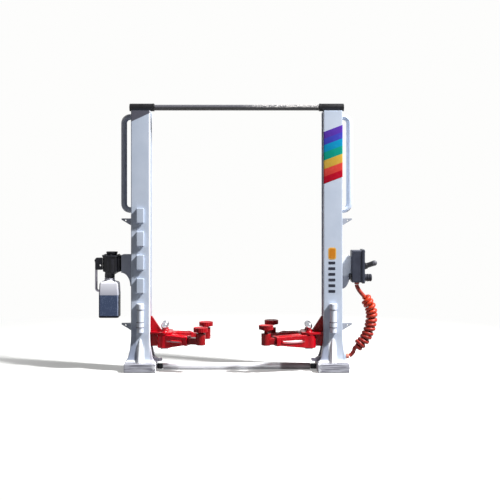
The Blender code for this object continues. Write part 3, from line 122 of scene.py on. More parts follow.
@dataclass
class Sheet:
    """A node tree that nodes are laid out on."""

    tree: bpy.types.NodeTree

    @cached_property
    def place(self) -> Socket:
        """The Object coordinates."""
        return self.add("TexCoord").outputs["Object"]

    @cached_property
    def axes(self) -> bpy.types.NodeOutputs:
        """The Object coordinates one by one, as X, Y and Z."""
        return self.add("SeparateXYZ", {0: self.place}).outputs

    def set(self, node: Node, inputs: Inputs) -> None:
        """Sets or links a node's inputs.

        Args:
            node: the node.
            inputs: by name or index, a value, a hex colour, an output, or a node for its own output.
        """
        for key, value in inputs.items():
            if isinstance(value, Node):
                value = next(socket for socket in value.outputs if socket.enabled)
            if isinstance(value, Socket):
                self.tree.links.new(value, node.inputs[key])
            else:
                node.inputs[key].default_value = linear(value) if isinstance(value, str) else value

    def add(self, kind: str, inputs: Inputs | None = None, **settings: str) -> Node:
        """Adds a node.

        Args:
            kind: the node's type, without the word that all shader nodes begin with.
            inputs: what its inputs are set to or linked with.
            settings: its properties.

        Returns:
            The new node.
        """
        made = self.tree.nodes.new(f"ShaderNode{kind}")
        for name, value in settings.items():
            setattr(made, name, value)
        self.set(made, inputs or {})
        return made

    def spots(self, size_mm: float, detail: float) -> Inputs:
        """Gives the inputs of a noise whose features are about this many millimetres."""
        return {"Vector": self.place, "Scale": per_mm(size_mm), "Detail": detail}

    def tint(
        self,
        under: Node | str,
        tone: Node | str,
        value: Node | Socket,
        begin: float,
        full: float,
        most: float = 1.0,
        curve: str = "LINEAR",
    ) -> Node:
        """Lays a tone over the colour below it, as far as a value lies between two others.

        Args:
            under: the colour below.
            tone: the colour laid over it.
            value: what is measured.
            begin: the value where the tone begins.
            full: the value where it is at its most.
            most: the largest share of the tone.
            curve: the kind of change between the two.

        Returns:
            The mixed colour.
        """
        mask = self.add("MapRange", reach(value, begin, full, most), interpolation_type=curve)
        return self.add("Mix", {0: mask, 6: under, 7: tone}, data_type="RGBA")

    def skin(self, relief: Node | Socket, strength: float, depth_mm: float, inputs: Inputs) -> None:
        """Gives the shader its relief and its other inputs.

        Args:
            relief: the height of the relief.
            strength: how strongly it shows.
            depth_mm: how deep it is, in millimetres.
            inputs: the shader's other inputs.
        """
        bump = self.add("Bump", {"Strength": strength, "Distance": depth_mm * MM, "Height": relief})
        self.set(self.tree.nodes["Principled BSDF"], {**inputs, "Normal": bump})


@dataclass(frozen=True)
class Finish:
    """A material that is made once and shared by the pieces that wear it."""

    name: str

    def paint(self, sheet: Sheet) -> None:
        """Lays the finish's nodes.

        Args:
            sheet: the material's nodes.
        """
        raise NotImplementedError

    def material(self) -> bpy.types.Material:
        """Makes the material, or finds the one already made.

        Returns:
            The material.
        """
        made = bpy.data.materials.get(self.name)
        if made is None:
            made = bpy.data.materials.new(self.name)
            made.use_nodes = True
            self.paint(Sheet(made.node_tree))
        return made


@dataclass(frozen=True)
class Zone:
    """A part of a finish with a tone of its own, between slanted planes with soft borders.

    Each plane is a direction, and the millimetres along it where the tone begins and is full.
    The zones lay painted highlights, glints, shade and shadows into a finish's colour.
    """

    colour: str
    share: float
    planes: tuple[tuple[tuple[float, float, float], float, float], ...]

    def lay(self, sheet: Sheet, under: Node) -> Node:
        """Mixes the zone's tone over the colour below it.

        Args:
            sheet: the material's nodes.
            under: the colour below.

        Returns:
            The mixed colour.
        """
        mask: Node | float = self.share
        for direction, begin, full in self.planes:
            along = sheet.add("VectorMath", {0: sheet.place, 1: direction}, operation="DOT_PRODUCT")
            side = sheet.add("MapRange", reach(along, begin * MM, full * MM))
            mask = sheet.add("Math", {0: side, 1: mask}, operation="MULTIPLY")
        return sheet.add("Mix", {0: mask, 6: under, 7: self.colour}, data_type="RGBA")


@dataclass(frozen=True)
class SprayedPaint(Finish):
    """Satin enamel sprayed on die-cast zinc: an even pale blue-grey with a faint orange peel.

    Dust lies in cloudy patches, the paint is darker in patches towards the feet of the posts,
    and zones lay painted highlights and painted shade into the colour. The peel is drawn
    coarser than a real one, so that it shows.
    """

    colour: str = "#c0cada"
    cloud: str = "#b6c1d2"
    dark_tone: str = "#85808f"
    foot_tone_share: float = 0.2
    foot_tone_top: float = 34 * MM
    foot_tone_full: float = 7 * MM
    roughness: float = 0.4
    peel_mm: float = 1.1
    zones: tuple[Zone, ...] = ()

    def paint(self, sheet: Sheet) -> None:
        """Lays clouds, darker patches at the feet, specks, zones of painted light and shade, and orange
        peel.

        Args:
            sheet: the material's nodes.
        """
        clouds = sheet.add("TexNoise", sheet.spots(22, 3.0))
        tone = sheet.tint(self.colour, self.cloud, clouds, begin=0.4, full=0.68)
        # a patchy darker tone towards the feet of the posts
        towards_feet = reach(sheet.axes["Z"], self.foot_tone_top, self.foot_tone_full)
        low = sheet.add("MapRange", towards_feet, interpolation_type="SMOOTHSTEP")
        patches = sheet.add("TexNoise", sheet.spots(5, 5.0))
        patchy = sheet.add("MapRange", reach(patches, begin=0.45, full=0.72, most=self.foot_tone_share))
        foot_darkening = sheet.add("Math", {0: low, 1: patchy}, operation="MULTIPLY")
        foot_darkened = sheet.add("Mix", {0: foot_darkening, 6: tone, 7: self.dark_tone}, data_type="RGBA")
        specks = sheet.add("TexNoise", sheet.spots(0.7, 2.0))
        shown = sheet.tint(foot_darkened, self.dark_tone, specks, begin=0.7, full=0.78, most=0.3)
        # the zones lay painted highlights and painted shade over the paint
        for zone in self.zones:
            shown = zone.lay(sheet, shown)
        spread = unevenness(clouds, self.roughness - 0.06, self.roughness + 0.1)
        uneven = sheet.add("MapRange", spread)
        peel = sheet.add("TexNoise", sheet.spots(self.peel_mm, 1.0))
        sheet.skin(peel, 0.12, 0.05, {"Base Color": shown, "Roughness": uneven})


@dataclass(frozen=True)
class StreakedCasting(Finish):
    """Raw die-cast zinc under thin paint: pale grey with long darker streaks and worn ends."""

    colour: str = "#b9bac4"
    streak: str = "#74737f"
    worn: str = "#eceef2"
    streak_thick_mm: float = 0.9
    streak_long_mm: float = 16.0
    wear_from: float = 75.0 * MM
    wear_full: float = 72.4 * MM

    def paint(self, sheet: Sheet) -> None:
        """Lays level streaks, worn white corners and a rough skin.

        Args:
            sheet: the material's nodes.
        """
        along, thick = per_mm(self.streak_long_mm), per_mm(self.streak_thick_mm)
        stretched = sheet.add("Mapping", {"Vector": sheet.place, "Scale": (along, along, thick)})
        streaks = sheet.add("TexNoise", {"Vector": stretched, "Scale": 1.0, "Detail": 4.0})
        tone = sheet.tint(self.colour, self.streak, streaks, begin=0.44, full=0.6, most=0.95)
        across = sheet.add("Math", {0: sheet.axes["X"]}, operation="ABSOLUTE")
        inner_end = sheet.add("MapRange", reach(across, self.wear_from, self.wear_full))
        chips = sheet.add("TexNoise", sheet.spots(1.6, 3.0))
        chipped = sheet.add("MapRange", reach(chips, begin=0.42, full=0.5))
        wear = sheet.add("Math", {0: inner_end, 1: chipped}, operation="MULTIPLY")
        final = sheet.add("Mix", {0: wear, 6: tone, 7: self.worn}, data_type="RGBA")
        sheet.skin(streaks, 0.35, 0.12, {"Base Color": final, "Roughness": 0.55})


@dataclass(frozen=True)
class GlossRed(Finish):
    """Gloss red lacquer on cast arms: deep and wet-looking, a little darker where it pooled."""

    colour: str = "#b40517"
    pooled: str = "#860411"
    roughness: float = 0.24
    dust: str = "#cc6670"
    zones: tuple[Zone, ...] = ()

    def paint(self, sheet: Sheet) -> None:
        """Lays pooled lacquer, dust specks, zones and a faint waviness.

        Args:
            sheet: the material's nodes.
        """
        pools = sheet.add("TexNoise", sheet.spots(9, 2.0))
        tone = sheet.tint(self.colour, self.pooled, pools, begin=0.45, full=0.7, most=0.8)
        dust = sheet.add("TexNoise", sheet.spots(0.6, 2.0))
        shown = sheet.tint(tone, self.dust, dust, begin=0.72, full=0.8, most=0.12)
        # the zones lay painted glints on the arms' ovals
        for zone in self.zones:
            shown = zone.lay(sheet, shown)
        spread = unevenness(pools, self.roughness - 0.04, self.roughness + 0.08)
        uneven = sheet.add("MapRange", spread)
        wave = sheet.add("TexNoise", sheet.spots(2.4, 1.0))
        sheet.skin(wave, 0.16, 0.08, {"Base Color": shown, "Roughness": uneven, "Specular IOR Level": 0.17})


@dataclass(frozen=True)
class MouldedPlastic(Finish):
    """Moulded ABS or rubber: one dark tone with a spark-eroded grain and a bloom of dust.

    The grain is drawn coarser than a real one, so that it shows.
    """

    colour: str = "#17171f"
    bloom: str = "#32323d"
    roughness: float = 0.4
    grain_mm: float = 0.45
    grain_strength: float = 0.25
    shine: float = 0.25

    def paint(self, sheet: Sheet) -> None:
        """Lays the dust bloom and the mould's grain.

        Args:
            sheet: the material's nodes.
        """
        blooms = sheet.add("TexNoise", sheet.spots(6, 4.0))
        tone = sheet.tint(self.colour, self.bloom, blooms, begin=0.45, full=0.75, most=0.75)
        spread = unevenness(blooms, self.roughness - 0.05, self.roughness + 0.12)
        uneven = sheet.add("MapRange", spread)
        grain = sheet.add("TexNoise", sheet.spots(self.grain_mm, 2.0))
        inputs = {"Base Color": tone, "Roughness": uneven, "Specular IOR Level": self.shine}
        sheet.skin(grain, self.grain_strength, 0.06, inputs)


@dataclass(frozen=True)
class CappedLever(Finish):
    """Dipped lever: black PVC on the arm, and a grey knob rubbed smooth at its end."""

    black: str = "#131319"
    grey: str = "#4e4e55"
    knob_from: float = 121.4 * MM
    border: float = 0.8 * MM
    ragged: float = 1.2 * MM

    def paint(self, sheet: Sheet) -> None:
        """Lays the two tones with a worn edge between them.

        Args:
            sheet: the material's nodes.
        """
        wear = sheet.add("TexNoise", sheet.spots(1.2, 3.0))
        edge = sheet.add("Math", {0: wear, 1: self.ragged, 2: sheet.axes["X"]}, operation="MULTIPLY_ADD")
        knob_full = self.knob_from + self.border
        tone = sheet.tint(self.black, self.grey, edge, begin=self.knob_from, full=knob_full)
        sheet.skin(wear, 0.2, 0.05, {"Base Color": tone, "Roughness": 0.42, "Specular IOR Level": 0.3})


@dataclass(frozen=True)
class GlintingChippedBlack(Finish):
    """Black dip coating on the top beam, with bright flecks along its upper side: part chipped coat, part
    painted glints.
    """

    colour: str = "#131319"
    dust: str = "#4c4c54"
    fleck: str = "#c9c6c2"
    fleck_mm: float = 0.9
    chip_and_glint_heights: Pair = (232.6 * MM, 234.6 * MM)
    chip_and_glint_across: Pair = (4.0 * MM, 26.0 * MM)
    dust_and_light_heights: Pair = (232.8 * MM, 234.2 * MM)

    def paint(self, sheet: Sheet) -> None:
        """Lays flecks that thicken upwards and towards the right, over a paler upper side of dust and
        painted light.

        Args:
            sheet: the material's nodes.
        """
        height = sheet.axes["Z"]
        # painted glints with chips: flecks on the lit upper side, thickest towards the right
        upper = sheet.add("MapRange", reach(height, *self.chip_and_glint_heights))
        right = sheet.add("MapRange", {**reach(sheet.axes["X"], *self.chip_and_glint_across), "To Min": 0.05})
        flecks = sheet.add("TexNoise", sheet.spots(self.fleck_mm, 4.0))
        chips_and_glints = sheet.add("MapRange", reach(flecks, begin=0.46, full=0.56))
        side = sheet.add("Math", {0: upper, 1: right}, operation="MULTIPLY")
        chipped_and_glinting = sheet.add("Math", {0: side, 1: chips_and_glints}, operation="MULTIPLY")
        # painted light with dust: the upper side paler, as if lit from above
        dusted_and_lit = sheet.tint(self.colour, self.dust, height, *self.dust_and_light_heights, most=0.8)
        tone = sheet.add("Mix", {0: chipped_and_glinting, 6: dusted_and_lit, 7: self.fleck}, data_type="RGBA")
        uneven = sheet.add("MapRange", {"Value": chipped_and_glinting, "To Min": 0.36, "To Max": 0.55})
        sheet.skin(flecks, 0.3, 0.1, {"Base Color": tone, "Roughness": uneven})


@dataclass(frozen=True)
class TwoToneTank(Finish):
    """Painted tank: white to light grey above, speckled slate blue below with darker edges."""

    white: str = "#e4e4ec"
    grey: str = "#bcbdc9"
    slate: str = "#46526d"
    speck: str = "#5f6b86"
    pale_edge: str = "#8d95ab"
    dark_edge: str = "#090b12"
    shading: Pair = (78.4 * MM, 66.9 * MM)
    border: Pair = (66.55 * MM, 67.25 * MM)
    pale_rim: Pair = (-105.5 * MM, -105.2 * MM)
    dark_rim: Pair = (-104.85 * MM, -104.6 * MM)
    dark_foot: Pair = (48.8 * MM, 48.3 * MM)

    def paint(self, sheet: Sheet) -> None:
        """Lays the two tones, their border, the specks, the pale edge and the dark edges.

        Args:
            sheet: the material's nodes.
        """
        height, across = sheet.axes["Z"], sheet.axes["X"]
        upper = sheet.tint(self.white, self.grey, height, *self.shading)
        specks = sheet.add("TexNoise", sheet.spots(1.1, 3.0))
        lower = sheet.tint(self.slate, self.speck, specks, begin=0.5, full=0.66, most=0.8)
        lower = sheet.tint(lower, self.pale_edge, across, *self.pale_rim, most=0.85)
        lower = sheet.tint(lower, self.dark_edge, across, *self.dark_rim)
        lower = sheet.tint(lower, self.dark_edge, height, *self.dark_foot)
        final = sheet.tint(lower, upper, height, *self.border)
        sheet.skin(specks, 0.2, 0.06, {"Base Color": final, "Roughness": 0.5, "Specular IOR Level": 0.1})


@dataclass(frozen=True)
class TurnedSteel(Finish):
    """Nickel-plated steel off a lathe: bright, with rings that break up the reflections.

    The rings lie about a third of the wave's size apart, coarser than a tool leaves them, so
    that they show.
    """

    colour: str = "#c8cbd0"
    dull: str = "#9a9ba3"
    roughness: float = 0.2
    wave_mm: float = 7.0

    def paint(self, sheet: Sheet) -> None:
        """Lays turning rings and dull patches.

        Args:
            sheet: the material's nodes.
        """
        patches = sheet.add("TexNoise", sheet.spots(2.5, 3.0))
        tone = sheet.add("Mix", {0: patches, 6: self.colour, 7: self.dull}, data_type="RGBA")
        spread = unevenness(patches, self.roughness - 0.06, self.roughness + 0.12)
        uneven = sheet.add("MapRange", spread)
        waves = {"Vector": sheet.place, "Scale": per_mm(self.wave_mm), "Distortion": 0.6}
        rings = sheet.add("TexWave", waves, wave_type="BANDS", bands_direction="Z").outputs["Fac"]
        sheet.skin(rings, 0.1, 0.02, {"Metallic": 1.0, "Base Color": tone, "Roughness": uneven})


@dataclass(frozen=True)
class DrawnTube(Finish):
    """Bright drawn tube under thin white paint, its right end toned as the photo's shadow is."""

    colour: str = "#f1f2f8"
    scratch: str = "#a8a7b3"
    shade: str = "#b5a9ae"
    shaded_from: float = 37.5 * MM
    shade_border: float = 3.5 * MM
    shaded_underside: Pair = (1.6 * MM, 0.4 * MM)
    metal: float = 0.36
    scratch_long_mm: float = 30.0
    scratch_thick_mm: float = 0.5

    def paint(self, sheet: Sheet) -> None:
        """Lays scratches along the tube, painted shade on its underside and the shade on its right end.

        Args:
            sheet: the material's nodes.
        """
        along, thick = per_mm(self.scratch_long_mm), per_mm(self.scratch_thick_mm)
        stretched = sheet.add("Mapping", {"Vector": sheet.place, "Scale": (along, thick, thick)})
        scratches = sheet.add("TexNoise", {"Vector": stretched, "Scale": 1.0, "Detail": 3.0})
        scratched = sheet.add("MapRange", reach(scratches, begin=0.52, full=0.75, most=0.22))
        # painted shade: the underside greyer, as if out of the light
        under = sheet.add("MapRange", reach(sheet.axes["Z"], *self.shaded_underside, most=0.15))
        worn = sheet.add("Math", {0: scratched, 1: under}, operation="MAXIMUM")
        tone = sheet.add("Mix", {0: worn, 6: self.colour, 7: self.scratch}, data_type="RGBA")
        end = reach(sheet.axes["X"], self.shaded_from, self.shaded_from + self.shade_border)
        shaded = sheet.add("MapRange", end, interpolation_type="SMOOTHSTEP")
        toned = sheet.add("Mix", {0: shaded, 6: tone, 7: self.shade}, data_type="RGBA")
        bright = sheet.add("MapRange", {"Value": shaded, "To Min": self.metal, "To Max": 0.0})
        sheet.skin(scratches, 0.12, 0.05, {"Base Color": toned, "Metallic": bright, "Roughness": 0.38})


@dataclass(frozen=True)
class CurledRubber(Finish):
    """Extruded polyurethane hose: glossy orange, with painted shade making it redder and darker lower down.
    """

    bright: str = "#c33a1b"
    low_shade: str = "#8e1d13"
    scuff: str = "#cb6a48"
    lead: str = "#8c2a22"
    lead_from: float = 64.6 * MM
    lead_border: float = 3.0 * MM
    high: float = 72.0 * MM
    low: float = 26.0 * MM

    def paint(self, sheet: Sheet) -> None:
        """Lays the painted shade that darkens it downwards, rubbed patches and the darker upper lead.

        Args:
            sheet: the material's nodes.
        """
        height = sheet.axes["Z"]
        # painted shade: redder and darker towards the floor, as if out of the light
        tone = sheet.tint(self.bright, self.low_shade, height, begin=self.high, full=self.low, curve="SMOOTHSTEP")
        rubs = sheet.add("TexNoise", sheet.spots(1.8, 3.0))
        tone = sheet.tint(tone, self.scuff, rubs, begin=0.6, full=0.78, most=0.35)
        full = self.lead_from + self.lead_border
        tone = sheet.tint(tone, self.lead, height, begin=self.lead_from, full=full, most=0.85)
        uneven = sheet.add("MapRange", {"Value": rubs, "To Min": 0.3, "To Max": 0.5})
        sheet.skin(rubs, 0.12, 0.05, {"Base Color": tone, "Roughness": uneven, "Specular IOR Level": 0.3})


@dataclass(frozen=True)
class ScreenInk(Finish):
    """Screen-printed ink or film: one satin colour, thinner here and there."""

    colour: str = "#888888"
    thin: str = "#aaaaaa"
    roughness: float = 0.42
    shine: float = 0.16

    def paint(self, sheet: Sheet) -> None:
        """Lays the ink's uneven cover.

        Args:
            sheet: the material's nodes.
        """
        cover = sheet.add("TexNoise", sheet.spots(3, 4.0))
        tone = sheet.tint(self.colour, self.thin, cover, begin=0.5, full=0.8, most=0.6)
        inputs = {"Base Color": tone, "Roughness": self.roughness, "Specular IOR Level": self.shine}
        sheet.skin(cover, 0.06, 0.03, inputs)


# Directions, and planes for the zones: a direction, and the mm along it where a tone begins and is full
LEFT, RIGHT, FRONTWARD, UP, DOWN = (-1, 0, 0), (1, 0, 0), (0, -1, 0), (0, 0, 1), (0, 0, -1)
ARM_FRONT = (FRONTWARD, 11.0, 12.0)
LEFT_OVAL = ((UP, 26.1, 26.5), (DOWN, -27.7, -27.3), (RIGHT, -62.5, -59.0), (LEFT, 48.0, 51.0), ARM_FRONT)
RIGHT_OVAL = ((UP, 25.9, 26.8), (DOWN, -28.0, -27.2), (RIGHT, 40.5, 49.0), (LEFT, -60.5, -54.0), ARM_FRONT)
RIB_TOP = (DOWN, -36.5, -35.0)
# painted highlights: the ribs' fronts and the feet's rims white, as if catching the key light
RIB_HIGHLIGHT = Zone(
    "#f8fafd", 0.85, ((FRONTWARD, 11.3, 11.6), RIB_TOP, (LEFT, 80.9, 81.3), (RIGHT, -87.8, -87.3))
)
# on the right rib the painted highlight reaches round onto its shaded flank
RIGHT_RIB_HIGHLIGHT = Zone(
    "#f8fafd", 0.85, ((FRONTWARD, 11.05, 11.3), RIB_TOP, (RIGHT, 80.8, 81.2), (LEFT, -88.0, -87.6))
)
FOOT_HIGHLIGHT = Zone("#f8fafd", 0.8, ((FRONTWARD, 11.3, 12.0), (DOWN, -11.0, -9.8)))
POST_PAINT = SprayedPaint("satin_enamel_post")
LEFT_POST_PAINT = SprayedPaint(
    "satin_enamel_left_post",
    zones=(
        # painted shade: the post's outer side and its fins, darker as if out of the key light
        Zone("#6d6b78", 0.45, ((LEFT, 93.25, 93.5), (UP, 28.0, 30.0))),
        # painted highlight: a white strip on the inner side, as if lit from the right
        Zone("#f1f4fb", 0.95, ((RIGHT, -77.5, -77.3), (FRONTWARD, -2.0, 0.0), (UP, 14.0, 24.0))),
        # painted shadow: the beam cap's shadow across the top of the front
        Zone("#383542", 0.95, (((-0.46, 0, 1), 262.5, 263.0), (FRONTWARD, 9.0, 10.0))),
        # painted shade on the inner side of the foot
        Zone("#a08d98", 0.5, ((RIGHT, -76.3, -75.9), (DOWN, -31.0, -28.0))),
        # painted shade beside the rib, low on the front
        Zone("#8791a8", 0.85, ((LEFT, 88.1, 88.5), (FRONTWARD, 10.5, 10.9), (DOWN, -43.0, -36.0))),
        RIB_HIGHLIGHT,
        FOOT_HIGHLIGHT,
    ),
)
RIGHT_POST_PAINT = SprayedPaint(
    "satin_enamel_right_post",
    zones=(
        # painted shade: the outer side darker, so that it does not burn out under the key lamp
        Zone("#9ba5b5", 0.8, ((RIGHT, 93.1, 93.3), (DOWN, -262.0, -260.0))),
        # painted shade on the inner side
        Zone("#8d8998", 0.3, ((LEFT, -76.7, -76.5),)),
        # painted shade on the inner side of the foot
        Zone("#5f5261", 0.75, ((LEFT, -76.3, -75.9), (DOWN, -31.0, -28.0))),
        # painted shade: the fins on the outer side greyer
        Zone("#8b8e97", 0.85, ((RIGHT, 93.8, 94.1), (UP, 28.0, 30.0))),
        # painted shade beside the rib, low on the front
        Zone("#8b93a8", 0.8, ((LEFT, -81.3, -80.9), (FRONTWARD, 10.5, 10.9), (DOWN, -43.0, -36.0))),
        RIGHT_RIB_HIGHLIGHT,
        FOOT_HIGHLIGHT,
    ),
)
# painted shade: a darker copy of the post paint for the left handle and the power unit's bracket, which
# stand out of the key light; HANDLE_GLINT is a painted highlight on the handle's top bend
HANDLE_GLINT = Zone("#fbfcff", 0.95, (((-0.707, 0, 0.707), 229.0, 229.6),))
SHADED_PAINT = SprayedPaint("satin_enamel_left_painted_shade", "#a9afbf", "#9fa5b5", zones=(HANDLE_GLINT,))
# painted light: a paler copy of the post paint, so that the cylinders read as lit
LIT_CYLINDER_PAINT = SprayedPaint("satin_enamel_lit_cylinder", "#dde3ee", "#d2d9e6")
# painted light: a near-white copy of the post paint lifts the bracket that the control box shades, and
# BRACKET_SHADE is painted shade on its lower end
BRACKET_SHADE = Zone("#9fa4b2", 0.8, (((0.3, 0, -1), -55.5, -53.5),))
LIT_BRACKET_PAINT = SprayedPaint("satin_enamel_lit_right_bracket", "#f6f8fc", "#eef1f7", zones=(BRACKET_SHADE,))
CAP_BLACK = MouldedPlastic("dipped_black_cap", "#07070b", "#121218", 0.36)
BASE_CASTING = StreakedCasting("streaked_zinc_base")
ARM_RED = GlossRed("gloss_red_lacquer")
# painted highlights: pale glints on the ovals of the front arms
LEFT_GLINT = Zone("#f2e2e6", 0.65, LEFT_OVAL)
RIGHT_GLINT = Zone("#f6e4e9", 0.75, RIGHT_OVAL)
# painted light: a brighter red for the front left arm, whose front is turned away from the key lamp
LEFT_ARM_LIT_RED = GlossRed("gloss_red_left_arm_lit", "#e80c24", "#ba061a", zones=(LEFT_GLINT,))
RIGHT_ARM_RED = GlossRed("gloss_red_right_arm", zones=(RIGHT_GLINT,))
# painted shade: the inner arms a darker red, as if shaded inside the sleeves
INNER_ARM_SHADED_RED = GlossRed("gloss_red_inner_arms", "#98040e", "#6c040b")
PAD_RED = GlossRed("gloss_red_pads", "#a8121c", "#7a0b14", 0.4)
SEAL_RUBBER = MouldedPlastic("dark_rubber_seal", "#3a3d4b", "#4a4d5b", 0.55, 0.4, 0.15)
MOTOR_BLACK = MouldedPlastic("black_abs_motor", "#131319", "#272832", 0.38)
BEAM_BLACK = GlintingChippedBlack("chipped_black_beam_with_glints")
BOX_SLATE = MouldedPlastic("slate_abs_box", "#2f323f", "#3d414e", 0.45, 0.6, 0.2)
SOCKET_RUBBER = MouldedPlastic("ribbed_rubber_socket", "#25262e", "#43454f", 0.6, 0.5, 0.2)
TANK_PAINT = TwoToneTank("two_tone_tank_paint")
PIN_STEEL = TurnedSteel("turned_nickel_pin")
WIRE_STEEL = TurnedSteel("drawn_zinc_wire", "#8f8c96", "#6d6a76", 0.34)
BAR_PAINT = DrawnTube("drawn_tube_paint")
HOSE_RUBBER = CurledRubber("orange_polyurethane_hose")
LEVER_GRIP = CappedLever("lever_grip_plastic")
FERRULE_PAINT = ScreenInk("pale_ferrule_paint", "#cc7d6b", "#d99585", 0.45)


class Bench:
    """The modelling steps that the pieces are shaped with, as by hand."""

    @staticmethod
    def stand(name: str, data: bpy.types.ID) -> Piece:
        """Adds an object with its data to the scene.

        Args:
            name: the object's name.
            data: its mesh, curve, lamp or camera.

        Returns:
            The object.
        """
        made = bpy.data.objects.new(name, data)
        bpy.context.scene.collection.objects.link(made)
        return made

    @staticmethod
    def clear() -> None:
        """Closes the mesh that is open and leaves nothing selected."""
        if bpy.context.object is not None and bpy.context.object.mode != "OBJECT":
            bpy.ops.object.mode_set(mode="OBJECT")
        bpy.ops.object.select_all(action="DESELECT")

    @staticmethod
    def take(piece: Piece) -> None:
        """Makes a piece the only one selected, and the active one."""
        Bench.clear()
        bpy.context.view_layer.objects.active = piece
        piece.select_set(True)

    @staticmethod
    def settle(piece: Piece, name: str) -> Piece:
        """Names a new primitive and puts its place into its mesh.

        Args:
            piece: the primitive.
            name: its name.

        Returns:
            The piece.
        """
        piece.name = name
        piece.data.name = name
        bpy.ops.object.transform_apply(location=True, rotation=True, scale=True)
        return piece

    @staticmethod
    def slab(name: str, centre: Sequence[float], size: Sequence[float]) -> Piece:
        """Adds a box, from its middle and its length along each axis."""
        bpy.ops.mesh.primitive_cube_add(size=1.0, location=centre, scale=size)
        return Bench.settle(bpy.context.object, name)

    @staticmethod
    def rod(
        name: str,
        centre: Sequence[float],
        radius: float,
        length: float,
        sides: int,
        turn: Sequence[float] = (0.0, 0.0, 0.0),
    ) -> Piece:
        """Adds a cylinder along Z about its middle, and turns it by its Euler angles."""
        bpy.ops.mesh.primitive_cylinder_add(
            vertices=sides, radius=radius, depth=length, location=centre, rotation=turn
        )
        return Bench.settle(bpy.context.object, name)

    @staticmethod
    def pick(
        piece: Piece,
        face: Callable[[bmesh.types.BMFace], bool] | None = None,
        edge: Callable[[bmesh.types.BMEdge], bool] | None = None,
    ) -> None:
        """Opens a piece in edit mode with some of its faces or edges selected.

        Args:
            piece: the piece.
            face: the test for faces, or nothing.
            edge: the test for edges, or nothing.
        """
        Bench.take(piece)
        bpy.ops.object.mode_set(mode="EDIT")
        bpy.ops.mesh.select_mode(type="FACE" if face is not None else "EDGE")
        bpy.ops.mesh.select_all(action="DESELECT")
        bm = bmesh.from_edit_mesh(piece.data)
        if face is not None:
            for item in bm.faces:
                item.select_set(face(item))
        elif edge is not None:
            for item in bm.edges:
                item.select_set(edge(item))
        bm.select_flush_mode()
        bmesh.update_edit_mesh(piece.data)

    @staticmethod
    def push(offset: Sequence[float], grow: Sequence[float] = (1.0, 1.0, 1.0)) -> None:
        """Extrudes what is selected, moves it and scales it about its own middle.

        Args:
            offset: how far it moves.
            grow: how much it grows along each axis.
        """
        bpy.ops.mesh.extrude_region_move(TRANSFORM_OT_translate={"value": tuple(offset)})
        if tuple(grow) != (1.0, 1.0, 1.0):
            bpy.ops.transform.resize(value=tuple(grow))

    @staticmethod
    def soften(piece: Piece, width: float, segments: int = 2, angle_deg: float = 35.0) -> None:
        """Rounds a piece's edges and gives it smooth shading.

        Args:
            piece: the piece.
            width: the width of the rounding.
            segments: its steps.
            angle_deg: edges sharper than this are rounded.
        """
        Bench.take(piece)
        if width > 0:
            bevel = piece.modifiers.new("edges", "BEVEL")
            bevel.width = width
            bevel.segments = segments
            bevel.limit_method = "ANGLE"
            bevel.angle_limit = math.radians(angle_deg)
            bevel.use_clamp_overlap = True
            bpy.ops.object.modifier_apply(modifier=bevel.name)
        bpy.ops.object.shade_smooth_by_angle(angle=math.radians(angle_deg))
        if width > 0:
            flatten = piece.modifiers.new("flat_faces", "WEIGHTED_NORMAL")
            flatten.keep_sharp = True
            bpy.ops.object.modifier_apply(modifier=flatten.name)
        Bench.clear()

    @staticmethod
    def copy(piece: Piece, name: str, matrix: Matrix) -> Piece:
        """Copies a piece with a mesh of its own, and puts its place into the mesh.

        Args:
            piece: the piece to copy.
            name: the copy's name.
            matrix: what carries the piece to the copy's place.

        Returns:
            The copy.
        """
        made = piece.copy()
        made.data = piece.data.copy()
        made.name = name
        made.data.name = name
        made.data.transform(matrix)
        bpy.context.scene.collection.objects.link(made)
        return made

    @staticmethod
    def finish(piece: Piece, finish: Finish, body: str, slot: str) -> None:
        """Dresses a piece and lets it ride on a body.

        Args:
            piece: the piece.
            finish: what it wears.
            body: the body that carries it.
            slot: the record's material slot; not used.
        """
        piece.data.materials.clear()
        piece.data.materials.append(finish.material())
        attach(piece, body)
        LOG.info("%s rides on %s in %s", piece.name, body, finish.name)


class StudioLamp(Enum):
    """The studio's lamps: azimuth and elevation in degrees, side in metres, power in watts."""

    KEY = (67.0, 50.0, 0.13, 56.0)
    FILL = (-48.0, 22.0, 0.9, 0.3)
    BACK = (165.0, 40.0, 0.9, 3.0)


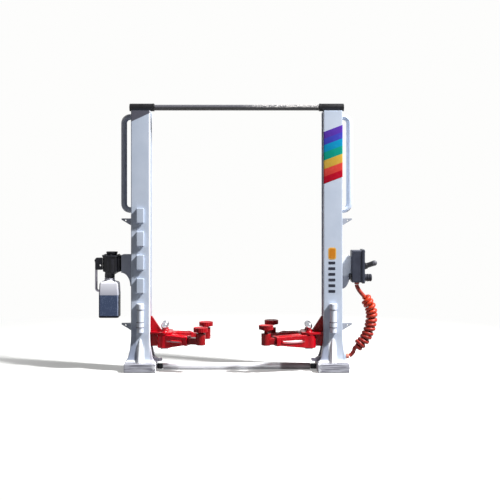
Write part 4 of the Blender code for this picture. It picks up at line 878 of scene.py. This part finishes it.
@dataclass
class Studio:
    """Camera, floor, lamps and the pale world round the model."""

    eye: tuple[float, float, float] = (0.0, -856.0 * MM, 151.0 * MM)
    lens_mm: float = 69.1
    shift: Pair = (0.0266, -0.1)
    clip: Pair = (0.01, 50.0)
    floor_radius: float = 4.0
    floor_drop: float = 0.2 * MM
    fade: Pair = (0.14, 0.45)
    near_glow: float = 0.3
    lamp_distance: float = 1.4
    bounce: str = "#5e5e62"
    paper: str = "#f7f7f5"
    white: str = "#fdfdfc"
    ambient: float = 0.055
    target: Vector = field(default_factory=lambda: Vector((0.0, 0.0, 0.11)))

    def camera(self) -> None:
        """Sets the level camera at the photograph's place."""
        data = bpy.data.cameras.new("studio_camera")
        data.lens = self.lens_mm
        data.sensor_width = 36.0
        data.shift_x, data.shift_y = self.shift
        data.clip_start, data.clip_end = self.clip
        camera = Bench.stand("studio_camera", data)
        camera.location = self.eye
        camera.rotation_euler = (math.pi / 2, 0.0, 0.0)
        bpy.context.scene.camera = camera

    @staticmethod
    def looked_at(sheet: Sheet) -> Node:
        """Adds what tells the rays of the camera, a mirror or a glass from those of the light."""
        path = sheet.add("LightPath").outputs
        seen = sheet.add("Math", {0: path["Is Camera Ray"], 1: path["Is Glossy Ray"]}, operation="MAXIMUM")
        return sheet.add("Math", {0: seen, 1: path["Is Transmission Ray"]}, operation="MAXIMUM")

    def floor(self) -> None:
        """Lays a white floor that keeps the model's shadow and fades into the background."""
        Bench.clear()
        bpy.ops.mesh.primitive_circle_add(
            vertices=96, radius=self.floor_radius, fill_type="NGON", location=(0, 0, -self.floor_drop)
        )
        floor = Bench.settle(bpy.context.object, "studio_floor")
        made = bpy.data.materials.new("white_paper_floor")
        made.use_nodes = True
        sheet = Sheet(made.node_tree)
        shader = sheet.tree.nodes["Principled BSDF"]
        away = sheet.add("VectorMath", {0: sheet.place}, operation="LENGTH")
        distance = {**reach(away, *self.fade), "To Min": self.near_glow}
        share = sheet.add("MapRange", distance, interpolation_type="SMOOTHSTEP")
        shown = self.looked_at(sheet)
        factor = sheet.add("Math", {0: shown, 1: share}, operation="MULTIPLY")
        paper = sheet.add("Mix", {0: shown, 6: self.bounce, 7: self.paper}, data_type="RGBA")
        sheet.set(shader, {"Base Color": paper, "Roughness": 0.9, "Specular IOR Level": 0.1})
        glow = sheet.add("Emission", {"Color": self.white, "Strength": 1.0})
        blend = sheet.add("MixShader", {0: factor, 1: shader, 2: glow})
        sheet.set(sheet.tree.nodes["Material Output"], {"Surface": blend})
        floor.data.materials.append(made)

    def lamp(self, lamp: StudioLamp) -> None:
        """Hangs one soft lamp that faces the model.

        Args:
            lamp: which of the lamps.
        """
        azimuth, elevation, size, watts = lamp.value
        turn, rise = math.radians(azimuth), math.radians(elevation)
        level = math.cos(rise)
        direction = Vector((math.sin(turn) * level, -math.cos(turn) * level, math.sin(rise)))
        data = bpy.data.lights.new(f"lamp_{lamp.name.lower()}", "AREA")
        data.shape = "SQUARE"
        data.size = size
        data.energy = watts
        hung = Bench.stand(data.name, data)
        hung.location = self.target + direction * self.lamp_distance
        hung.rotation_euler = (-direction).to_track_quat("-Z", "Y").to_euler()

    def world(self) -> None:
        """Makes the world a soft grey light that shows as white."""
        world = bpy.data.worlds.new("pale_studio")
        bpy.context.scene.world = world
        world.use_nodes = True
        sheet = Sheet(world.node_tree)
        shown = self.looked_at(sheet)
        strength = sheet.add("MapRange", {"Value": shown, "To Min": self.ambient, "To Max": 1.0})
        sheet.set(world.node_tree.nodes["Background"], {"Color": self.white, "Strength": strength})

    def build(self) -> None:
        """Sets up the camera, the floor, the world and the lamps."""
        bpy.context.scene.view_settings.view_transform = "Standard"
        self.camera()
        self.floor()
        self.world()
        for lamp in StudioLamp:
            self.lamp(lamp)


@dataclass
class CurledHose:
    """The curled hose, from its strain relief under the control box to the foot of the post.

    Its points are in millimetres, as X and Z. Slack and pinch are the share and the rate of the
    coil's unevenness along the hose and across it.
    """

    diameter: float = 3.6 * MM
    length: float = 0.31
    coil_radius: float = 3.6 * MM
    turns: float = 13.0
    points_per_turn: int = 20
    ramp_turns: float = 0.4
    lead_steps: int = 5
    axis_steps: int = 24
    slack: Pair = (0.006, 31.0)
    pinch: Pair = (0.03, 47.0)
    upper: tuple[Pair, ...] = ((107.1, 75.4), (107.2, 74.6), (107.9, 72.7), (109.6, 69.8), (111.8, 67.1))
    coil: tuple[Pair, ...] = (
        (113.9, 64.7), (117.0, 60.0), (119.6, 54.0), (120.3, 47.0),
        (119.3, 39.6), (117.1, 33.0), (112.8, 25.4), (106.4, 19.9),
    )
    lower: tuple[Pair, ...] = (
        (105.1, 18.9), (104.6, 17.2), (103.9, 15.5),
        (102.8, 14.0), (101.6, 12.9), (100.4, 12.1),
    )

    @staticmethod
    def smooth(points: Sequence[Vector], steps: int) -> list[Vector]:
        """Reads points from a smooth curve through the given ones.

        Args:
            points: the points that the curve passes through.
            steps: how many points to read between two of them.

        Returns:
            The points.
        """
        knots = [points[0] * 2 - points[1], *points, points[-1] * 2 - points[-2]]
        read = []
        for index in range(1, len(knots) - 2):
            a, b, c, d = knots[index - 1 : index + 3]
            for step in range(steps):
                t = step / steps
                near = 2 * b + (c - a) * t
                far = (2 * a - 5 * b + 4 * c - d) * t * t + (3 * b - a - 3 * c + d) * t**3
                read.append((near + far) / 2)
        read.append(knots[-2].copy())
        return read

    def centreline(self) -> list[Vector]:
        """Works out the points that the hose follows.

        Returns:
            The points, from the strain relief to the ferrule.
        """
        runs = (self.upper, self.coil, self.lower)
        first, middle, last = ([Vector((x * MM, 0.0, z * MM)) for x, z in run] for run in runs)
        upper = self.smooth([*first, *middle[:2]], self.lead_steps)[: len(first) * self.lead_steps]
        lower = self.smooth([*middle[-2:], *last], self.lead_steps)[self.lead_steps + 1 :]
        axis = self.smooth(middle, self.axis_steps)
        travelled = [0.0]
        for before, after in zip(axis, axis[1:]):
            travelled.append(travelled[-1] + (after - before).length)
        whole = travelled[-1]
        count = int(self.turns * self.points_per_turn)
        helix = []
        for step in range(count + 1):
            share = step / count
            uneven = share + self.slack[0] * math.sin(share * self.slack[1])
            distance = min(max(uneven, 0.0), 1.0) * whole
            low = max(bisect_left(travelled, distance) - 1, 0)
            span = travelled[low + 1] - travelled[low]
            centre = axis[low].lerp(axis[low + 1], (distance - travelled[low]) / span)
            along = (axis[low + 1] - axis[low]).normalized()
            outward = Vector((along.z, 0.0, -along.x))
            turn = share * self.turns
            ramp = min(turn, self.turns - turn, self.ramp_turns) / self.ramp_turns
            ramp = ramp * ramp * (3 - 2 * ramp)
            radius = self.coil_radius * ramp * (1 - self.pinch[0] * math.sin(share * self.pinch[1]) ** 2)
            angle = 2 * math.pi * turn
            aside = outward * (radius * math.cos(angle))
            helix.append(centre + aside + Vector((0, 1, 0)) * radius * math.sin(angle))
        return upper + helix + lower

    def build(self) -> None:
        points = self.centreline()
        curve = bpy.data.curves.new("curled_hose", "CURVE")
        curve.dimensions = "3D"
        curve.bevel_depth = self.diameter / 2
        curve.bevel_resolution = 4
        curve.use_fill_caps = True
        spline = curve.splines.new("POLY")
        spline.points.add(len(points) - 1)
        for target, point in zip(spline.points, points):
            target.co = (*point, 1.0)
        spline.use_smooth = True
        curve.materials.append(HOSE_RUBBER.material())
        hose = Bench.stand("curled_hose", curve)
        measured = sum((after - before).length for before, after in zip(points, points[1:]))
        LOG.info("curled_hose is %.4f m long along its middle", measured)
        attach(hose, "frame")
        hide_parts("hose_upper_lead", "hose_coil", "hose_lower_lead")


# CAD nodes in the order that they are finished in, finish, slot, and millimetres of rounding
SOLID_FINISHES: tuple[tuple[str, Finish, str, float], ...] = (
    ("left_base right_base", BASE_CASTING, "base_grey", 0.3),
    ("left_post", LEFT_POST_PAINT, "post_paint", 0.18),
    ("right_post", RIGHT_POST_PAINT, "post_paint", 0.18),
    ("left_relief_cylinder right_relief_cylinder", LIT_CYLINDER_PAINT, "post_paint", 0.08),
    ("right_handle", POST_PAINT, "post_paint", 0.0),
    ("left_handle", SHADED_PAINT, "post_paint", 0.0),
    ("power_bracket", SHADED_PAINT, "post_paint", 0.18),
    ("box_bracket", LIT_BRACKET_PAINT, "post_paint", 0.18),
    ("top_beam", BEAM_BLACK, "moulded_black", 0.18),
    ("left_beam_cap right_beam_cap", CAP_BLACK, "moulded_black", 0.6),
    ("left_bar_coupler right_bar_coupler", MOTOR_BLACK, "moulded_black", 0.18),
    ("floor_bar", BAR_PAINT, "floor_bar_grey", 0.18),
    ("left_carriage right_carriage", ARM_RED, "arm_red", 0.25),
    ("left_front_arm", LEFT_ARM_LIT_RED, "arm_red", 0.25),
    ("right_front_arm", RIGHT_ARM_RED, "arm_red", 0.25),
    ("left_rear_arm right_rear_arm", ARM_RED, "arm_red", 0.25),
    (" ".join(f"{arm}_inner_arm" for arm in ARMS), INNER_ARM_SHADED_RED, "arm_red", 0.25),
    ("pump_motor motor_switch box_knob", MOTOR_BLACK, "moulded_black", 0.18),
    ("control_lever", LEVER_GRIP, "moulded_black", 0.18),
    ("hose_relief", HOSE_RUBBER, "orange_hose", 0.1),
    ("oil_tank", TANK_PAINT, "tank_paint", 0.3),
    ("tank_wire_handle", WIRE_STEEL, "bright_steel", 0.0),
    ("control_box", BOX_SLATE, "box_slate", 0.3),
    ("box_socket", SOCKET_RUBBER, "dark_rubber", 0.1),
    ("hose_ferrule", FERRULE_PAINT, "pale_ferrule", 0.1),
)


@dataclass
class FinishedSolids:
    """The CAD solids as smoothed pieces with rounded edges, each in its own finish."""

    merge: float = 0.002 * MM
    flat_deg: float = 0.6

    def smoothed(self, node: str, edge: float) -> Piece:
        """Copies a CAD node, merges its loose triangles and rounds its edges.

        Args:
            node: the node's name.
            edge: the width of the rounding.

        Returns:
            The piece.
        """
        piece = Bench.stand(f"{node}_body", frame["nodes"][node].data.copy())
        Bench.pick(piece, face=lambda item: True)
        bpy.ops.mesh.select_all(action="SELECT")
        bpy.ops.mesh.customdata_custom_splitnormals_clear()
        bpy.ops.mesh.remove_doubles(threshold=self.merge)
        bpy.ops.mesh.dissolve_limited(angle_limit=math.radians(self.flat_deg))
        Bench.soften(piece, edge)
        return piece

    def build(self) -> None:
        """Replaces the rigid CAD nodes with their smoothed pieces, each in its finish."""
        for nodes, finish, slot, edge in SOLID_FINISHES:
            for node in nodes.split():
                piece = self.smoothed(node, edge * MM)
                Bench.finish(piece, finish, frame["nodes"][node]["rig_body"], slot)
                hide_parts(node)


@dataclass
class StripeBand:
    """The slanted colour stripes printed round the front of the right post."""

    tops: tuple[float, ...] = (210.8, 204.6, 199.0, 192.6, 185.5, 177.9, 171.2, 165.1)
    colours: tuple[tuple[str, str, str], ...] = (
        ("violet", "#52309c", "#6243aa"),
        ("indigo", "#3a3ea6", "#484cb4"),
        ("blue", "#0784b0", "#2093bf"),
        ("teal", "#048a78", "#1a9482"),
        ("ochre", "#c09a3a", "#ccb05c"),
        ("coral", "#c43c34", "#d05a4e"),
        ("red", "#a5001e", "#b01a36"),
    )
    slope: float = 0.379
    proud: float = 0.12 * MM
    wrap: float = 0.75 * MM
    corner: float = 0.95 * MM

    def build(self) -> None:
        """Models each stripe as a thin film that bends round the post's front corners."""
        left = POST_INNER - self.proud
        right = POST_OUTER + self.proud
        front = POST_FRONT - self.proud
        for index, (name, colour, thin) in enumerate(self.colours):
            top = self.tops[index] * MM
            foot = self.tops[index + 1] * MM
            centre = ((left + right) / 2, front + self.wrap, (top + foot) / 2)
            stripe = Bench.slab(f"stripe_{name}", centre, (right - left, 2 * self.wrap, top - foot))
            Bench.pick(stripe, face=lambda item: item.normal.x > 0.9)
            bpy.ops.transform.translate(value=(0.0, 0.0, self.slope * (right - left)))
            Bench.pick(
                stripe,
                edge=lambda item: all(vert.co.y < front + self.wrap for vert in item.verts)
                and abs(item.verts[0].co.x - item.verts[1].co.x) < self.corner,
            )
            bpy.ops.mesh.bevel(offset=self.corner, segments=3, profile=0.5)
            Bench.soften(stripe, 0.0)
            Bench.finish(stripe, ScreenInk(f"stripe_ink_{name}", colour, thin, 0.4), "frame", "post_paint")


@dataclass
class PlainPatches:
    """A plain orange patch and six plain dark bars on the front of the right post."""

    patch_centre: Pair = (84.1 * MM, 103.9 * MM)
    patch_size: Pair = (7.0 * MM, 10.6 * MM)
    bar_centres: tuple[float, ...] = (95.6, 90.6, 85.6, 80.6, 75.6, 70.6)
    bar_size: Pair = (6.0 * MM, 2.4 * MM)
    bar_shift: float = 0.3 * MM
    border: float = 0.9 * MM
    patch_corner: float = 2.0 * MM
    face_corner: float = 1.4 * MM
    bar_corner: float = 0.3 * MM
    thick: float = 0.12 * MM
    lift: float = 0.8
    face_lift: float = 1.4
    edge_share: float = 0.3

    def film(self, name: str, centre: Pair, size: Pair, corner: float, lift: float) -> Piece:
        """Models one flat film with round corners.

        Args:
            name: the piece's name.
            centre: its middle, as X and Z.
            size: its width and height.
            corner: the radius of its corners.
            lift: how far it stands off the paint, in its own thicknesses.

        Returns:
            The piece.
        """
        middle = (centre[0], POST_FRONT - self.thick * lift + self.thick / 2, centre[1])
        film = Bench.slab(name, middle, (size[0], self.thick, size[1]))
        Bench.pick(film, edge=lambda item: abs(item.verts[0].co.y - item.verts[1].co.y) > self.thick / 2)
        bpy.ops.mesh.bevel(offset=corner, segments=5, profile=0.5)
        Bench.soften(film, self.thick * self.edge_share, segments=1)
        return film

    def build(self) -> None:
        """Models the patch with its paler border, and the bars."""
        yellow = ScreenInk("patch_border_ink", "#e0b058", "#e8c27c", 0.4)
        orange = ScreenInk("patch_ink", "#c87c22", "#d48f3c", 0.4)
        dark = ScreenInk("bar_ink", "#2c2e3a", "#4b4d5a", 0.45)
        place, size = self.patch_centre, self.patch_size
        border = self.film("patch_border", place, size, self.patch_corner, self.lift)
        Bench.finish(border, yellow, "frame", "post_paint")
        face_size = tuple(length - 2 * self.border for length in size)
        face = self.film("patch_face", place, face_size, self.face_corner, self.face_lift)
        Bench.finish(face, orange, "frame", "post_paint")
        for index, height in enumerate(self.bar_centres):
            centre = (place[0] - self.bar_shift, height * MM)
            bar = self.film(f"dark_bar_{index + 1}", centre, self.bar_size, self.bar_corner, self.lift)
            Bench.finish(bar, dark, "frame", "post_paint")


@dataclass
class LiftingPads:
    """The round pads with notched rims, dished tops and threaded stems.

    The dish is a row of insets, each a width and a rise in millimetres.
    """

    rim_sides: int = 44
    notch: float = 0.32 * MM
    notch_inset: float = 0.12 * MM
    rounding: float = 0.12 * MM
    stem_radius: float = 1.7 * MM
    stem_length: float = 8.0 * MM
    neck_radius: float = 2.9 * MM
    neck_height: float = 1.0 * MM
    pitch: float = 0.8 * MM
    thread_root: float = 0.84
    dish: tuple[Pair, ...] = ((1.1, 0.0), (0.25, -0.45), (2.2, 0.0), (0.2, 0.3))

    def model(self, name: str, middle: Vector, radius: float, top: float, foot: float) -> Piece:
        """Models a pad on its stem, with the stem's axis through a place.

        Args:
            name: the piece's name.
            middle: a point of the axis.
            radius: the pad's radius.
            top: the height of its top.
            foot: the height of its stem's foot.

        Returns:
            The piece.
        """
        neck_foot = foot + self.stem_length
        disc_foot = neck_foot + self.neck_height
        thick = top - disc_foot
        axis = (middle.x, middle.y)
        pad = Bench.rod(name, (*axis, disc_foot + thick / 2), radius, thick, self.rim_sides)

        def notched(item: bmesh.types.BMFace) -> bool:
            """Tells every second face of the rim."""
            centre = item.calc_center_median()
            turn = math.atan2(centre.y - axis[1], centre.x - axis[0])
            step = round((turn / (2 * math.pi) * self.rim_sides) - 0.5)
            return abs(item.normal.z) < 0.5 and step % 2 == 0

        Bench.pick(pad, face=notched)
        bpy.ops.mesh.inset(thickness=self.notch_inset, depth=-self.notch, use_individual=True)
        Bench.pick(pad, face=lambda item: item.normal.z > 0.9 and item.calc_area() > radius**2)
        for thickness, depth in self.dish:
            bpy.ops.mesh.inset(thickness=thickness * MM, depth=depth * MM)
        Bench.pick(pad, face=lambda item: item.normal.z < -0.9 and item.calc_area() > radius**2)
        bpy.ops.mesh.inset(thickness=radius - self.neck_radius, depth=0.0)
        Bench.push((0.0, 0.0, -self.neck_height))
        bpy.ops.mesh.inset(thickness=self.neck_radius - self.stem_radius, depth=0.0)
        threads = int(self.stem_length / self.pitch)
        rise = self.stem_length / threads / 2
        for _ in range(threads):
            for grow in (self.thread_root, 1 / self.thread_root):
                Bench.push((0.0, 0.0, -rise), (grow, grow, 1.0))
        Bench.soften(pad, self.rounding, angle_deg=40.0)
        return pad

    def build(self) -> None:
        """Models the pad of each arm."""
        for arm in ARMS:
            low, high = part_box(f"{arm}_pad")
            middle = (low + high) / 2
            pad = self.model(f"{arm}_notched_pad", middle, (high.x - low.x) / 2, high.z, low.z)
            Bench.finish(pad, PAD_RED, f"{arm}_pad_screw", "arm_red")
            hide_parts(f"{arm}_pad")


@dataclass
class BallPins:
    """The turned pins that the arms swing on: head, shank, neck and a polished ball."""

    sides: int = 48
    head_radius: float = 3.4 * MM
    head_height: float = 1.0 * MM
    shank_radius: float = 1.5 * MM
    ball_radius: float = 3.1 * MM
    ball_steps: int = 16
    neck_share: float = 0.86
    pole_radius: float = 0.3 * MM
    rounding: float = 0.1 * MM

    def model(self, name: str, middle: Vector, foot: float, top: float) -> Piece:
        """Turns a pin on its axis, from its head up to the ball's pole.

        Args:
            name: the piece's name.
            middle: a point of the axis.
            foot: the height of the head's underside.
            top: the height of the ball's top.

        Returns:
            The piece.
        """
        centre = top - self.ball_radius
        seat = (middle.x, middle.y, foot + self.head_height / 2)
        pin = Bench.rod(name, seat, self.head_radius, self.head_height, self.sides)
        Bench.pick(pin, face=lambda item: item.normal.z > 0.9)
        bpy.ops.mesh.inset(thickness=self.head_radius - self.shank_radius, depth=0.0)
        low = -math.asin(self.neck_share)
        high = math.acos(self.pole_radius / self.ball_radius)
        radius, height = self.shank_radius, foot + self.head_height
        for step in range(self.ball_steps + 1):
            angle = low + (high - low) * step / self.ball_steps
            wide = self.ball_radius * math.cos(angle)
            level = centre + self.ball_radius * math.sin(angle)
            Bench.push((0.0, 0.0, level - height), (wide / radius, wide / radius, 1.0))
            radius, height = wide, level
        Bench.soften(pin, self.rounding, angle_deg=40.0)
        return pin

    def build(self) -> None:
        """Models the pin of each arm."""
        for arm in ARMS:
            low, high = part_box(f"{arm}_pin")
            pin = self.model(f"{arm}_ball_pin", (low + high) / 2, low.z, high.z)
            Bench.finish(pin, PIN_STEEL, frame["nodes"][f"{arm}_pin"]["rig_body"], "bright_steel")
            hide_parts(f"{arm}_pin")


@dataclass
class Fasteners:
    """Round bolts on the motor's flange and round screws on the control box's cover."""

    washer_radius: float = 1.0 * MM
    washer_rim: float = 0.24 * MM
    bolt_height: float = 0.7 * MM
    crown_inset: float = 0.16 * MM
    crown_rise: float = 0.08 * MM
    bolt_ring: float = 6.9 * MM
    bolt_count: int = 6
    flange_top: float = 102.0 * MM
    motor_middle: float = -111.2 * MM
    screw_radius: float = 0.85 * MM
    screw_height: float = 0.35 * MM
    screw_rim: float = 0.3825 * MM
    screw_dome: float = 0.05 * MM
    recess_depth: float = 0.2 * MM
    recess_taper: float = 0.8
    screw_inset: float = 2.0 * MM
    screw_sunk: float = 0.02 * MM
    washer: float = 0.2 * MM
    rounding: float = 0.05 * MM
    sides: int = 24

    def bolt(self) -> Piece:
        """Models one round bolt head on a washer, on the flange's middle.

        Returns:
            The bolt.
        """
        seat = (self.motor_middle, 0.0, self.flange_top + self.washer / 2)
        bolt = Bench.rod("flange_bolt_1", seat, self.washer_radius, self.washer, self.sides)
        Bench.pick(bolt, face=lambda item: item.normal.z > 0.9)
        bpy.ops.mesh.inset(thickness=self.washer_rim, depth=0.0)
        Bench.push((0.0, 0.0, self.bolt_height - self.washer))
        bpy.ops.mesh.inset(thickness=self.crown_inset, depth=self.crown_rise)
        Bench.soften(bolt, self.rounding, segments=1)
        return bolt

    def screw(self, centre: Vector) -> Piece:
        """Models one round screw head with a driver's recess, facing +X.

        Args:
            centre: the middle of its seat.

        Returns:
            The screw.
        """
        seat = (centre.x + self.screw_height / 2, centre.y, centre.z)
        turn = (0.0, math.pi / 2, 0.0)
        screw = Bench.rod("cover_screw_1", seat, self.screw_radius, self.screw_height, self.sides, turn)
        Bench.pick(screw, face=lambda item: item.normal.x > 0.9)
        bpy.ops.mesh.inset(thickness=self.screw_rim, depth=self.screw_dome)
        Bench.push((-self.recess_depth, 0.0, 0.0), (1.0, self.recess_taper, self.recess_taper))
        Bench.soften(screw, self.rounding, segments=1)
        return screw

    def build(self) -> None:
        """Models the bolts and the screws, each once and then copied."""
        bolt = self.bolt()
        for index in range(self.bolt_count):
            angle = 2 * math.pi * (index + 0.5) / self.bolt_count
            offset = Vector((math.cos(angle), math.sin(angle), 0.0)) * self.bolt_ring
            placed = Bench.copy(bolt, f"motor_bolt_{index + 1}", Matrix.Translation(offset))
            Bench.finish(placed, MOTOR_BLACK, "frame", "moulded_black")
        bpy.data.objects.remove(bolt)
        low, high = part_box("control_box")
        inset = self.screw_inset
        first = Vector((high.x - self.screw_sunk, low.y + inset, low.z + inset))
        screw = self.screw(first)
        count = 0
        for along in (0.0, high.y - low.y - 2 * inset):
            for up in (0.0, high.z - low.z - 2 * inset):
                count += 1
                placed = Bench.copy(screw, f"box_screw_{count}", Matrix.Translation((0.0, along, up)))
                Bench.finish(placed, PIN_STEEL, "frame", "bright_steel")
        bpy.data.objects.remove(screw)


@dataclass
class SmallTrim:
    """Rubber seals on the cylinders of the posts, and the round liner of the motor's switch."""

    seal_heights: tuple[float, ...] = (39.1 * MM, 43.5 * MM, 54.6 * MM)
    seal_radius: float = 3.28 * MM
    seal_thick: float = 0.5 * MM
    seal_rounding: float = 0.16 * MM
    cylinder_middle: Pair = (84.85 * MM, -12.7 * MM)
    seat: float = -11.25 * MM
    hole_centre: Pair = (-121.5 * MM, 93.05 * MM)
    hole_size: Pair = (2.1 * MM, 4.0 * MM)
    liner_deep: float = 5.6 * MM
    liner_rounding: float = 0.12 * MM
    eye_radius: float = 0.9 * MM
    eye_drop: float = 0.3 * MM

    def seal(self) -> Piece:
        """Models one half-round seal on the left cylinder's axis, at height zero.

        Returns:
            The seal.
        """
        centre = (-self.cylinder_middle[0], self.cylinder_middle[1], 0.0)
        seal = Bench.rod("cylinder_seal", centre, self.seal_radius, self.seal_thick, 48)
        Bench.pick(seal, face=lambda item: True)
        plane = (0.0, self.seat, 0.0)
        bpy.ops.mesh.bisect(plane_co=plane, plane_no=(0.0, 1.0, 0.0), use_fill=True, clear_outer=True)
        Bench.soften(seal, self.seal_rounding, segments=3)
        return seal

    def liner(self) -> Piece:
        """Models the liner that makes the switch's slot a round eye.

        Returns:
            The liner.
        """
        x, z = self.hole_centre
        size = (self.hole_size[0], self.liner_deep, self.hole_size[1])
        liner = Bench.slab("switch_liner", (x, 0.0, z), size)
        eye, turn = (x, 0.0, z - self.eye_drop), (math.pi / 2, 0.0, 0.0)
        drill = Bench.rod("liner_drill", eye, self.eye_radius, 2 * self.liner_deep, 32, turn)
        Bench.take(liner)
        cut = liner.modifiers.new("eye", "BOOLEAN")
        cut.operation = "DIFFERENCE"
        cut.solver = "EXACT"
        cut.object = drill
        bpy.ops.object.modifier_apply(modifier=cut.name)
        bpy.data.objects.remove(drill)
        Bench.soften(liner, self.liner_rounding)
        return liner

    def build(self) -> None:
        """Models the seal once and copies it to both cylinders, and models the liner."""
        seal = self.seal()
        for side, shift in zip(SIDES, (0.0, 2 * self.cylinder_middle[0])):
            for index, height in enumerate(self.seal_heights):
                place = Matrix.Translation((shift, 0.0, height))
                placed = Bench.copy(seal, f"{side}_cylinder_seal_{index + 1}", place)
                Bench.finish(placed, SEAL_RUBBER, "frame", "moulded_black")
        bpy.data.objects.remove(seal)
        Bench.finish(self.liner(), MOTOR_BLACK, "frame", "moulded_black")


def main() -> None:
    """Builds the studio and the pieces in order."""
    logging.basicConfig(level=logging.INFO, format="%(message)s")
    large_parts = (Studio, CurledHose, FinishedSolids, StripeBand, PlainPatches)
    small_parts = (LiftingPads, BallPins, Fasteners, SmallTrim)
    for part in (*large_parts, *small_parts):
        part().build()


if __name__ == "__main__":
    main()
